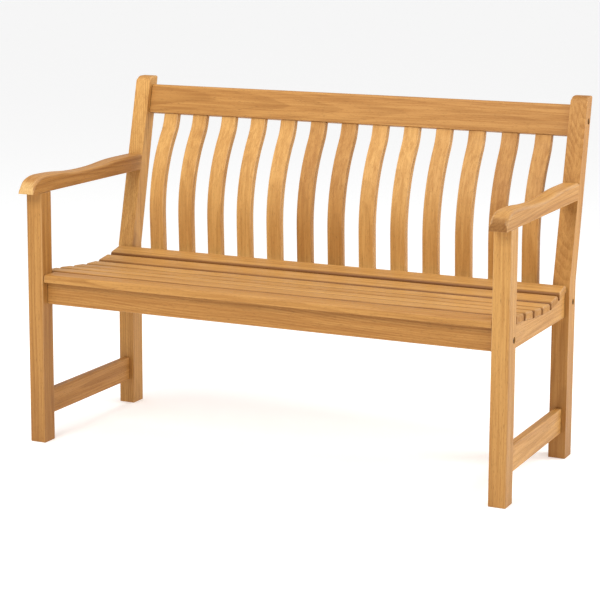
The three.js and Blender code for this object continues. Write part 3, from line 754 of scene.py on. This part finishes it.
front_screws = ["slat_screw_1_left", "slat_screw_1_right"]
front_holes = rail_bores("front", "front_seat_rail") + screw_recesses(front_screws, seat_rail_underside)
sawn_piece("front_seat_rail_timber", "front_seat_rail", "long", long_timber, holes=front_holes)
sawn_piece("rear_seat_rail_timber", "rear_seat_rail", "long", long_timber,
           holes=rail_bores("rear", "rear_seat_rail"))
sawn_piece("centre_bearer_timber", "centre_seat_bearer", "deep", deep_timber)


# ---------------------------------------------------------------- top rail
# A wide flat rail bolted between the back legs and leaning with them, with its arrises eased
# like those of the frame. Long fine lines of grain run from end to end of it.
top_rail_timber = timber("top_rail_timber", (1, 0, 0), (0, 0, 0), ring_width=0.007, wander=0.014,
                         taper=0.03, figure_share=0.45)
sawn_piece("top_rail_timber", "top_rail", "long", top_rail_timber,
           holes=rail_bores("top", "top_rail"))


# ---------------------------------------------------------------- back slats
# Thirteen slats sawn to a bow that leans back from the seat and turns upright again at the top
# rail. Their arrises are eased, and they stand at even gaps, tenoned into the two rails.
slat_ease = 0.003
slat_end_ease = 0.0006
slat_corner_steps = 3
slat_overshoot = 0.03
widest_arris_face = 0.0025
bow_in_grain = 0.3
slat_lots_from = (-0.05, 0.03, -6.0)
slat_lots_to = (0.05, 0.10, 6.0)
slat_timber = timber("back_slat_timber", (0, 0, 1), (0, 90, 0), ring_width=0.008, figure_share=0.28,
                     follows="grain_place")


def new_tree(name, takes):
    """An empty geometry tree; takes are (name, kind, default), after the geometry itself."""
    tree = bpy.data.node_groups.new(name, "GeometryNodeTree")
    tree.interface.new_socket("Geometry", in_out="INPUT", socket_type="NodeSocketGeometry")
    for label, kind, default in takes:
        socket = tree.interface.new_socket(label, in_out="INPUT", socket_type=kind)
        if default is not None:
            socket.default_value = default
    tree.interface.new_socket("Geometry", in_out="OUTPUT", socket_type="NodeSocketGeometry")
    return tree, add_node(tree, "NodeGroupInput").outputs, add_node(tree, "NodeGroupOutput").inputs


def run_tree(piece, tree, **values):
    """Runs a tree on a piece with its own values, and keeps the result as a plain mesh."""
    modifier = piece.modifiers.new(tree.name, "NODES")
    modifier.node_group = tree
    for item in tree.interface.items_tree:
        label = item.name.replace(" ", "_")
        if item.in_out == "INPUT" and label in values:
            modifier[item.identifier] = values[label]
    settle(piece)


def name_attribute(tree, geometry, name, kind, domain, value):
    sources = {"Geometry": geometry, "Name": name, "Value": value}
    made = wired(tree, "GeometryNodeStoreNamedAttribute", sources, data_type=kind, domain=domain)
    return made.outputs["Geometry"]


def random_between(tree, low, high, seed, kind="FLOAT"):
    made = add_node(tree, "FunctionNodeRandomValue", data_type=kind)
    ends = [s for s in made.inputs if s.name in ("Min", "Max") and s.enabled]
    ends[0].default_value = low
    ends[1].default_value = high
    feed(tree, made.inputs["Seed"], seed)
    return next(s for s in made.outputs if s.enabled)


def mark_lots(tree, instances, low, high, seed):
    """Gives each slat its own place in a log and its own tone."""
    shift = random_between(tree, low, high, seed, "FLOAT_VECTOR")
    placed = name_attribute(tree, instances, "board_shift", "FLOAT_VECTOR", "INSTANCE", shift)
    tone = random_between(tree, -1.0, 1.0, seed)
    return name_attribute(tree, placed, "board_tone", "FLOAT", "INSTANCE", tone)


def rounded_section(tree, width, height, rounding):
    """The section of a slat: a rectangle with its corners rounded off."""
    sources = {"Width": width, "Height": height}
    section = wired(tree, "GeometryNodeCurvePrimitiveQuadrilateral", sources)
    sources = {"Curve": section.outputs[0], "Count": slat_corner_steps, "Radius": rounding}
    return wired(tree, "GeometryNodeFilletCurve", sources, mode="POLY").outputs["Curve"]


def read_attribute(tree, name, kind="FLOAT"):
    made = wired(tree, "GeometryNodeInputNamedAttribute", {"Name": name}, data_type=kind)
    return made.outputs["Attribute"]


def own_grain(tree, mesh, bow_share):
    """Notes where each point lies in its own slat, with a share of the slat's bow."""
    section = read_attribute(tree, "section", "FLOAT_VECTOR")
    spot = add_node(tree, "GeometryNodeInputPosition").outputs[0]
    flat = wired(tree, "ShaderNodeSeparateXYZ", {0: section}).outputs
    place = wired(tree, "ShaderNodeSeparateXYZ", {0: spot}).outputs
    bowed = maths(tree, "MULTIPLY_ADD", place["Y"], bow_share, flat["Y"])
    sources = {"X": flat["X"], "Y": bowed, "Z": read_attribute(tree, "along")}
    made = wired(tree, "ShaderNodeCombineXYZ", sources)
    return name_attribute(tree, mesh, "grain_place", "FLOAT_VECTOR", "POINT", made.outputs[0])


def finish_tree(tree, instances, material, out):
    """Turns the copies into one real mesh of one material."""
    real = wired(tree, "GeometryNodeRealizeInstances", {"Geometry": instances}).outputs["Geometry"]
    worn = wired(tree, "GeometryNodeSetMaterial", {"Geometry": real, "Material": material})
    feed(tree, out["Geometry"], worn.outputs["Geometry"])


def copies_on(tree, points, copied, **sources):
    """A copy of a piece on each point of a cloud."""
    sources = {"Points": points, "Instance": copied, **sources}
    return wired(tree, "GeometryNodeInstanceOnPoints", sources).outputs["Instances"]


def bowed_slats_tree():
    """Sweeps a slat up a bowed centre line, and repeats it along the rail."""
    tree, given, out = new_tree("Bowed slats", [
        ("Count", "NodeSocketInt", 13), ("Pitch", "NodeSocketFloat", 0.09),
        ("Width", "NodeSocketFloat", 0.044), ("Thickness", "NodeSocketFloat", 0.018),
        ("Rounding", "NodeSocketFloat", 0.003), ("Bow in grain", "NodeSocketFloat", 0.3),
        ("Seed", "NodeSocketInt", 3), ("Material", "NodeSocketMaterial", None),
    ])
    line = wired(tree, "GeometryNodeMeshToCurve", {"Mesh": given["Geometry"]})
    run = add_node(tree, "GeometryNodeSplineParameter").outputs["Length"]
    rounded = rounded_section(tree, given["Width"], given["Thickness"], given["Rounding"])
    spot = add_node(tree, "GeometryNodeInputPosition").outputs[0]
    line = name_attribute(tree, line.outputs["Curve"], "along", "FLOAT", "POINT", run)
    rounded = name_attribute(tree, rounded, "section", "FLOAT_VECTOR", "POINT", spot)
    sources = {"Curve": line, "Profile Curve": rounded, "Fill Caps": True}
    sweep = wired(tree, "GeometryNodeCurveToMesh", sources)
    slat = own_grain(tree, sweep.outputs["Mesh"], given["Bow in grain"])
    reach = maths(tree, "MULTIPLY", maths(tree, "SUBTRACT", given["Count"], 1.0),
                  maths(tree, "MULTIPLY", given["Pitch"], -0.5))
    first = wired(tree, "ShaderNodeCombineXYZ", {"X": reach}).outputs[0]
    step = wired(tree, "ShaderNodeCombineXYZ", {"X": given["Pitch"]}).outputs[0]
    sources = {"Count": given["Count"], "Start Location": first, "Offset": step}
    row = wired(tree, "GeometryNodeMeshLine", sources, mode="OFFSET")
    copies = copies_on(tree, row.outputs["Mesh"], slat)
    marked = mark_lots(tree, copies, slat_lots_from, slat_lots_to, given["Seed"])
    finish_tree(tree, marked, given["Material"], out)
    return tree


def strip_centre_line(ring, thickness, overshoot):
    """The middle of a bent strip of even thickness, run on past its shoulder at each end."""
    middles = {}
    for i, point in enumerate(ring):
        for partner in ring[i + 1:]:
            across = Vector(partner) - Vector(point)
            if abs(across.length - thickness) < 2e-4 and abs(across.x) > 0.75 * thickness:
                middle = (Vector(point) + Vector(partner)) / 2
                middles[round(middle.y, 4)] = tuple(middle)
    line = [Vector(middles[height]) for height in sorted(middles)]
    line.sort(key=lambda point: point.y)
    foot_way = (line[0] - line[1]).normalized()
    head_way = (line[-1] - line[-2]).normalized()
    return [line[0] + foot_way * overshoot, *line[1:-1], line[-1] + head_way * overshoot]


def sawn_off(piece, point, outwards):
    """Saws off what lies beyond a plane, and closes the cut."""
    shell = bmesh.new()
    shell.from_mesh(piece.data)
    whole = shell.verts[:] + shell.edges[:] + shell.faces[:]
    cut = bmesh.ops.bisect_plane(shell, geom=whole, plane_co=point, plane_no=outwards, clear_outer=True)
    rim = [part for part in cut["geom_cut"] if isinstance(part, bmesh.types.BMEdge)]
    caps = bmesh.ops.edgeloop_fill(shell, edges=rim)["faces"]
    shell.faces.ensure_lookup_table()
    for face in caps:
        face.material_index = shell.faces[0].material_index
    bmesh.ops.recalc_face_normals(shell, faces=shell.faces)
    shell.to_mesh(piece.data)
    shell.free()


def shoulder_of(ring, lowest, clearance):
    """A point on the lower or upper edge of a rail's outline, and the way square to it."""
    edges = [(Vector(a), Vector(b)) for a, b in zip(ring, ring[1:] + ring[:1])]
    edges = [edge for edge in edges if (edge[1] - edge[0]).length > 0.02]
    start, end = sorted(edges, key=lambda edge: edge[0].y + edge[1].y)[0 if lowest else -1]
    square = Vector((0, end.y - start.y, start.x - end.x)).normalized()
    return Vector((0, *start)) + square * clearance, -square


def finish_slats(piece, nodes, ease):
    """Eases the ends of a set of swept slats, marks their arrises, and puts them on the frame."""
    shell = bmesh.new()
    shell.from_mesh(piece.data)
    ease_arrises(shell, ease, sharper_than=50.0)
    mark = shell.loops.layers.float["arris"]
    for face in shell.faces:
        if min(e.calc_length() for e in face.edges) < widest_arris_face and len(face.verts) == 4:
            for loop in face.loops:
                loop[mark] = 1.0
    shell.to_mesh(piece.data)
    shell.free()
    smooth_faces(piece)
    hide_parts(*nodes)
    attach(piece, "root")


back_slat_names = ["back_slat_" + str(i).zfill(2) for i in range(1, 14)]
slat_low, slat_high = x_span("back_slat_07")
slat_thickness = 0.018
rail_clearance = 0.0003
slat_line = strip_centre_line(side_outline("back_slat_07"), slat_thickness, slat_overshoot)
line_mesh = bpy.data.meshes.new("back_slats")
line_points = [(0, y, z) for y, z in slat_line]
line_mesh.from_pydata(line_points, [(i, i + 1) for i in range(len(slat_line) - 1)], [])
back_slats = put_in_scene("back_slats", line_mesh)
first_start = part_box("back_slat_01")[0].x
last_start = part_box("back_slat_13")[0].x
run_tree(
    back_slats, bowed_slats_tree(), Count=len(back_slat_names),
    Pitch=(last_start - first_start) / (len(back_slat_names) - 1),
    Width=slat_high - slat_low, Thickness=slat_thickness, Rounding=slat_ease,
    Bow_in_grain=bow_in_grain, Seed=3, Material=slat_timber,
)
sawn_off(back_slats, *shoulder_of(side_outline("top_rail"), True, rail_clearance))
sawn_off(back_slats, *shoulder_of(side_outline("rear_seat_rail"), False, rail_clearance))
finish_slats(back_slats, back_slat_names, slat_end_ease)


# ---------------------------------------------------------------- seat slats
# Seven slats of one section, with their top edges rounded. The front one fits between the legs;
# the other six lie over the side rails, each on its own flat of the scoop.
seat_slat_thickness = 0.02
seat_top_rounding = 0.008
seat_under_rounding = 0.0015
seat_end_ease = 0.004
seat_rounding_steps = 4
seat_lots_from = (-6.0, -0.09, -0.38)
seat_lots_to = (6.0, 0.09, -0.34)
# Painted shade in the seat gaps starts on faces turned this far towards Y, and is full over this span.
gap_face_start = 0.35
gap_face_span = 0.5
seat_timber = timber("seat_slat_timber", (1, 0, 0), (0, 0, 0), ring_width=0.008, wander=0.014)


def slat_section(depth, inset):
    """The rounded (y, z) section of a seat slat, drawn in all round by an inset."""
    points = []
    corners = ((-1, -1, seat_under_rounding), (1, -1, seat_under_rounding),
               (1, 1, seat_top_rounding), (-1, 1, seat_top_rounding))
    for i, (across, up, rounding) in enumerate(corners):
        radius = max(rounding - inset, 0.0004)
        middle_y = across * (depth / 2 - inset - radius)
        middle_z = up * (seat_slat_thickness / 2 - inset - radius)
        for step in range(seat_rounding_steps + 1):
            angle = math.radians(180 + 90 * (i + step / seat_rounding_steps))
            points.append((middle_y + radius * math.cos(angle), middle_z + radius * math.sin(angle)))
    return points


def eased_slat_shell(depth, reach):
    """A slat along X, with rounded edges, and with its two ends eased all round."""
    shell = bmesh.new()
    mark = shell.loops.layers.float.new("arris")
    rings = []
    quarter = [math.radians(90 * step / seat_rounding_steps) for step in range(seat_rounding_steps + 1)]
    for side, turns in ((-1, quarter), (1, quarter[::-1])):
        for turn in turns:
            x = side * (reach - seat_end_ease * (1 - math.cos(turn)))
            section = slat_section(depth, seat_end_ease * (1 - math.sin(turn)))
            rings.append([shell.verts.new((x, y, z)) for y, z in section])
    shell.faces.new(rings[0])
    shell.faces.new(rings[-1])
    for ring, following in zip(rings, rings[1:]):
        for i in range(len(ring)):
            j = (i + 1) % len(ring)
            face = shell.faces.new((ring[i], ring[j], following[j], following[i]))
            for loop in face.loops:
                loop[mark] = float(abs(ring[i].co.x - following[i].co.x) < seat_end_ease)
    bmesh.ops.recalc_face_normals(shell, faces=shell.faces)
    return shell


def laid_slats_tree():
    """Lays a copy of one slat on each point, tilted as the point says."""
    tree, given, out = new_tree("Laid slats", [
        ("Slat", "NodeSocketObject", None), ("Seed", "NodeSocketInt", 5),
        ("Material", "NodeSocketMaterial", None),
    ])
    slat = wired(tree, "GeometryNodeObjectInfo", {"Object": given["Slat"]}).outputs["Geometry"]
    turn = wired(tree, "ShaderNodeCombineXYZ", {"X": read_attribute(tree, "tilt")}).outputs[0]
    copies = copies_on(tree, given["Geometry"], slat, Rotation=turn)
    marked = mark_lots(tree, copies, seat_lots_from, seat_lots_to, given["Seed"])
    finish_tree(tree, marked, given["Material"], out)
    return tree


laid_slats = laid_slats_tree()


def slat_bed(node_name):
    """Where a slat lies: its middle, its tilt about X, and how far it reaches each way."""
    ring = side_outline(node_name)
    edges = [(Vector(a), Vector(b)) for a, b in zip(ring, ring[1:] + ring[:1])]
    under = max(edges, key=lambda edge: (edge[1] - edge[0]).length - 2 * (edge[0].y + edge[1].y))
    along = (under[1] - under[0]).normalized()
    upwards = Vector((-along.y, along.x))
    middle = (under[0] + under[1]) / 2 + upwards * seat_slat_thickness / 2
    reach = x_span(node_name)[1]
    return (0.0, *middle), math.atan2(along.y, along.x), reach


def places_mesh(name, places, **values):
    """A cloud of points that carries one number a point for each named value."""
    mesh = bpy.data.meshes.new(name)
    mesh.from_pydata(places, [], [])
    for label, numbers in values.items():
        mesh.attributes.new(label, "FLOAT", "POINT").data.foreach_set("value", numbers)
    return mesh


def soil_gaps(piece, shade_behind):
    """Paints shade on the faces that look into the gaps between slats; points in front of a given depth
    get none.
    """
    shade_paint = []
    for vert in piece.data.vertices:
        facing = min(1.0, max(0.0, (abs(vert.normal.y) - gap_face_start) / gap_face_span))
        shade_paint.append(facing if vert.co.y > shade_behind else 0.0)
    piece.data.attributes.new("painted_shade", "FLOAT", "POINT").data.foreach_set("value", shade_paint)


def seat_slat_set(name, nodes, seed, shade_behind):
    """Makes one set of seat slats of the same length, and lays each on its own place."""
    beds = [slat_bed(node_name) for node_name in nodes]
    master = object_of("seat_slat_master", eased_slat_shell(seat_slat_depth, beds[0][2]))
    places = places_mesh(name, [bed[0] for bed in beds], tilt=[bed[1] for bed in beds])
    piece = put_in_scene(name, places)
    run_tree(piece, laid_slats, Slat=master, Seed=seed, Material=seat_timber)
    discard(master)
    smooth_faces(piece)
    # Painted shade on the faces that look into the gaps between the slats.
    soil_gaps(piece, shade_behind)
    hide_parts(*nodes)
    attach(piece, "root")


front_low, front_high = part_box("seat_slat_1")
seat_slat_depth = front_high.y - front_low.y
seat_slat_names = ["seat_slat_" + str(i) for i in range(1, 8)]
seat_slat_set("front_seat_slat", seat_slat_names[:1], 8, (front_low.y + front_high.y) / 2)
seat_slat_set("seat_slats", seat_slat_names[1:], 5, front_high.y)


# ---------------------------------------------------------------- rail bolts
# Six socket-head bolts of zinc-plated steel, one at each end of a rail. Their heads sit in the
# counterbores of the legs, with a six-sided socket for the key; their steel is painted a darker
# grey, as painted shade inside the counterbores.
steel_grey = colour(150, 150, 148)
# Darker grey for the bolt heads: painted shade inside the counterbores.
bolt_shade_grey = colour(88, 84, 78)
bolt_head_radius = 0.0065
bolt_head_height = 0.005
bolt_head_chamfer = 0.0007
bolt_shank_radius = 0.004
key_half_width = 0.0025
key_socket_depth = 0.003
bolt_tip_length = 0.001
thread_turns = 18
thread_pitch = 0.00125
thread_depth = 0.0005
steel_bloom_waves = 90.0


def plated_steel(name, tone, roughness):
    material = bpy.data.materials.new(name)
    material.use_nodes = True
    tree = material.node_tree
    shader = tree.nodes["Principled BSDF"]
    shader.inputs["Metallic"].default_value = 1.0
    place = add_node(tree, "ShaderNodeTexCoord").outputs["Object"]
    bloom = stretched_noise(tree, place, steel_bloom_waves, steel_bloom_waves, detail=3.0)
    feed(tree, shader.inputs["Base Color"],
         mixed(tree, ramp_between(tree, bloom, 0.35, 0.7), tone, tuple(0.72 * t for t in tone)))
    feed(tree, shader.inputs["Roughness"],
         ramp_between(tree, bloom, 0.3, 0.7, roughness - 0.06, roughness + 0.12))
    return material


plated = plated_steel("zinc_plated_steel", steel_grey, 0.34)
bolt_steel_with_painted_shade = plated_steel("dulled_bolt_steel", bolt_shade_grey, 0.5)


def turned_shell(profile, sides_round):
    """A turned part about Z; the profile is (radius, height) pairs from one pole to the other."""
    shell = bmesh.new()
    rings = []
    for radius, height in profile:
        if radius == 0.0:
            rings.append([shell.verts.new((0, 0, height))])
            continue
        angles = [2 * math.pi * i / sides_round for i in range(sides_round)]
        rounds = [(radius * math.cos(angle), radius * math.sin(angle), height) for angle in angles]
        rings.append([shell.verts.new(place) for place in rounds])
    for lower, upper in zip(rings, rings[1:]):
        for i in range(sides_round):
            j = (i + 1) % sides_round
            corners = [lower[i % len(lower)], lower[j % len(lower)],
                       upper[j % len(upper)], upper[i % len(upper)]]
            shell.faces.new(list(dict.fromkeys(corners)))
    bmesh.ops.recalc_face_normals(shell, faces=shell.faces)
    return shell


def placed_copies_tree():
    """Puts a copy of one fixing on each point, turned about Y as the point says."""
    tree, given, out = new_tree("Placed fixings", [
        ("Fixing", "NodeSocketObject", None), ("Material", "NodeSocketMaterial", None),
    ])
    fixing = wired(tree, "GeometryNodeObjectInfo", {"Object": given["Fixing"]}).outputs["Geometry"]
    sources = {"X": read_attribute(tree, "lean"), "Y": read_attribute(tree, "swing")}
    turn = wired(tree, "ShaderNodeCombineXYZ", sources).outputs[0]
    copies = copies_on(tree, given["Geometry"], fixing, Rotation=turn)
    finish_tree(tree, copies, given["Material"], out)
    return tree


placed_copies = placed_copies_tree()


def fixings(name, shell, places, leans, swings, nodes, material):
    """One set of like fixings, each on the place of its frame node."""
    master = object_of("master", shell)
    piece = put_in_scene(name, places_mesh(name, places, lean=leans, swing=swings))
    run_tree(piece, placed_copies, Fixing=master, Material=material)
    discard(master)
    smooth_faces(piece, crease=28.0)
    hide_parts(*nodes)
    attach(piece, "root")


def bolt_shell():
    """A bolt with the face of its head at Z = 0 and its shank going down -Z."""
    low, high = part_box("front_rail_bolt_right")
    length = high.x - low.x
    head, shank = bolt_head_radius, bolt_shank_radius
    socket = key_half_width / math.cos(math.pi / 6)
    profile = [(0.0, -0.0031), (socket * 0.9, -key_socket_depth), (socket, -0.0001),
               (socket + 0.0004, 0.0), (head - bolt_head_chamfer, 0.0), (head, -bolt_head_chamfer),
               (head, -bolt_head_height), (shank, -bolt_head_height)]
    thread_start = length - bolt_tip_length - thread_turns * thread_pitch
    profile.append((shank, -thread_start))
    for i in range(thread_turns):
        profile.append((shank - thread_depth, -(thread_start + (i + 0.5) * thread_pitch)))
        profile.append((shank, -(thread_start + (i + 1) * thread_pitch)))
    profile.append((0.0, -length))
    shell = turned_shell(profile[::-1], 24)
    for vert in shell.verts:
        inner = math.hypot(vert.co.x, vert.co.y)
        if vert.co.z > -0.0032 and 0.0 < inner <= socket + 1e-5:
            angle = math.atan2(vert.co.y, vert.co.x)
            sector = (angle + math.pi / 6) % (math.pi / 3) - math.pi / 6
            flat = math.cos(math.pi / 6) / math.cos(sector)
            vert.co.x *= flat
            vert.co.y *= flat
    return shell


rails = ("front", "rear", "top")
bolt_nodes = [rail + "_rail_bolt_" + side_name for rail in rails for side_name, side in sides]
bolt_places = []
bolt_swings = []
for node_name in bolt_nodes:
    low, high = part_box(node_name)
    side = 1 if node_name.endswith("right") else -1
    bolt_places.append((side * max(abs(low.x), abs(high.x)), (low.y + high.y) / 2, (low.z + high.z) / 2))
    bolt_swings.append(side * math.pi / 2)
fixings("rail_bolts", bolt_shell(), bolt_places, [0.0] * 6, bolt_swings, bolt_nodes, bolt_steel_with_painted_shade)


# ---------------------------------------------------------------- barrel nuts
# Six round cross nuts, pushed into bores from the rear face of each rail, with a screwdriver
# slot in the end that shows so that they can be lined up with their bolts.
nut_cutter_reach = 0.02
slot_width = 0.0016
slot_depth = 0.0012
top_rail_lean = math.radians(13.4)


def barrel_nut_shell(half_length):
    """A cross nut about Z, with the slotted end at the top and a bore across for the bolt."""
    radius, chamfer = 0.0065, 0.0005
    profile = [(0.0, -half_length), (radius - chamfer, -half_length), (radius, chamfer - half_length),
               (radius, half_length - chamfer), (radius - chamfer, half_length), (0.0, half_length)]
    nut = object_of("nut_body", turned_shell(profile, 32))
    cutters = bmesh.new()
    slot_size = Matrix.Diagonal((nut_cutter_reach, slot_width, 2 * slot_depth, 1))
    bmesh.ops.create_cube(cutters, size=1.0, matrix=Matrix.Translation((0, 0, half_length)) @ slot_size)
    bmesh.ops.create_cone(
        cutters, cap_ends=True, segments=24, radius1=bolt_bore_radius, radius2=bolt_bore_radius,
        depth=nut_cutter_reach, matrix=Matrix.Rotation(math.pi / 2, 4, "Y"),
    )
    cut_away(nut, object_of("nut_cutters", cutters), False)
    made = bmesh.new()
    made.from_mesh(nut.data)
    discard(nut)
    return made


for rail in rails:
    names = [rail + "_barrel_nut_" + side_name for side_name, side in sides]
    middles = [middle_of(name) for name in names]
    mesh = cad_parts[names[0]].data
    ends = [v.co - middles[0] for v in mesh.vertices]
    lean = 0.0 if rail != "top" else -top_rail_lean
    axis = Vector((0, math.cos(lean), math.sin(lean)))
    half_length = max(end.dot(axis) for end in ends)
    fixings(rail + "_barrel_nuts", barrel_nut_shell(half_length), middles,
            [lean - math.pi / 2] * 2, [0.0] * 2, names, plated)


# ---------------------------------------------------------------- slat screws
# Fourteen screws driven up through the rails into the slats, so that no head shows on the seat.
# Each has a countersunk head with a cross recess, and a coarse thread for wood.
screw_head_radius = 0.004
screw_shank_radius = 0.0018
screw_tip_length = 0.004
screw_smooth_share = 0.4
screw_thread_pitch = 0.0018
screw_thread_root = 0.0003
screw_thread_crest = 0.0004


def screw_shell():
    """A wood screw with its head at Z = 0, pointing up."""
    low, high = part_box("slat_screw_4_left")
    length = high.z - low.z
    head, shank, tip = screw_head_radius, screw_shank_radius, screw_tip_length
    profile = [(0.0, 0.0014), (0.0011, 0.0002), (0.0014, 0.0), (head, 0.0), (head, screw_head_height / 4),
               (shank, screw_head_height)]
    thread, start = screw_thread_pitch, length * screw_smooth_share
    turns = int((length - tip - start) / thread)
    for i in range(turns):
        profile.append((shank - screw_thread_root, start + i * thread))
        profile.append((shank + screw_thread_crest, start + (i + 0.5) * thread))
    profile.append((shank - screw_thread_root, length - tip))
    profile.append((0.0, length))
    shell = turned_shell(profile, 12)
    for vert in shell.verts:
        inner = math.hypot(vert.co.x, vert.co.y)
        if vert.co.z < 0.001 and 0.0 < inner < 0.0016:
            on_arm = round(math.degrees(math.atan2(vert.co.y, vert.co.x))) % 90 == 0
            vert.co.x *= 1.5 if on_arm else 0.55
            vert.co.y *= 1.5 if on_arm else 0.55
    return shell


screw_nodes = ["slat_screw_" + str(i) + "_" + side_name for i in range(1, 8) for side_name, side in sides]
screw_places = []
for node_name in screw_nodes:
    low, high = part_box(node_name)
    screw_places.append(((low.x + high.x) / 2, (low.y + high.y) / 2, low.z))
fixings("slat_screws", screw_shell(), screw_places, [0.0] * 14, [0.0] * 14, screw_nodes, plated)
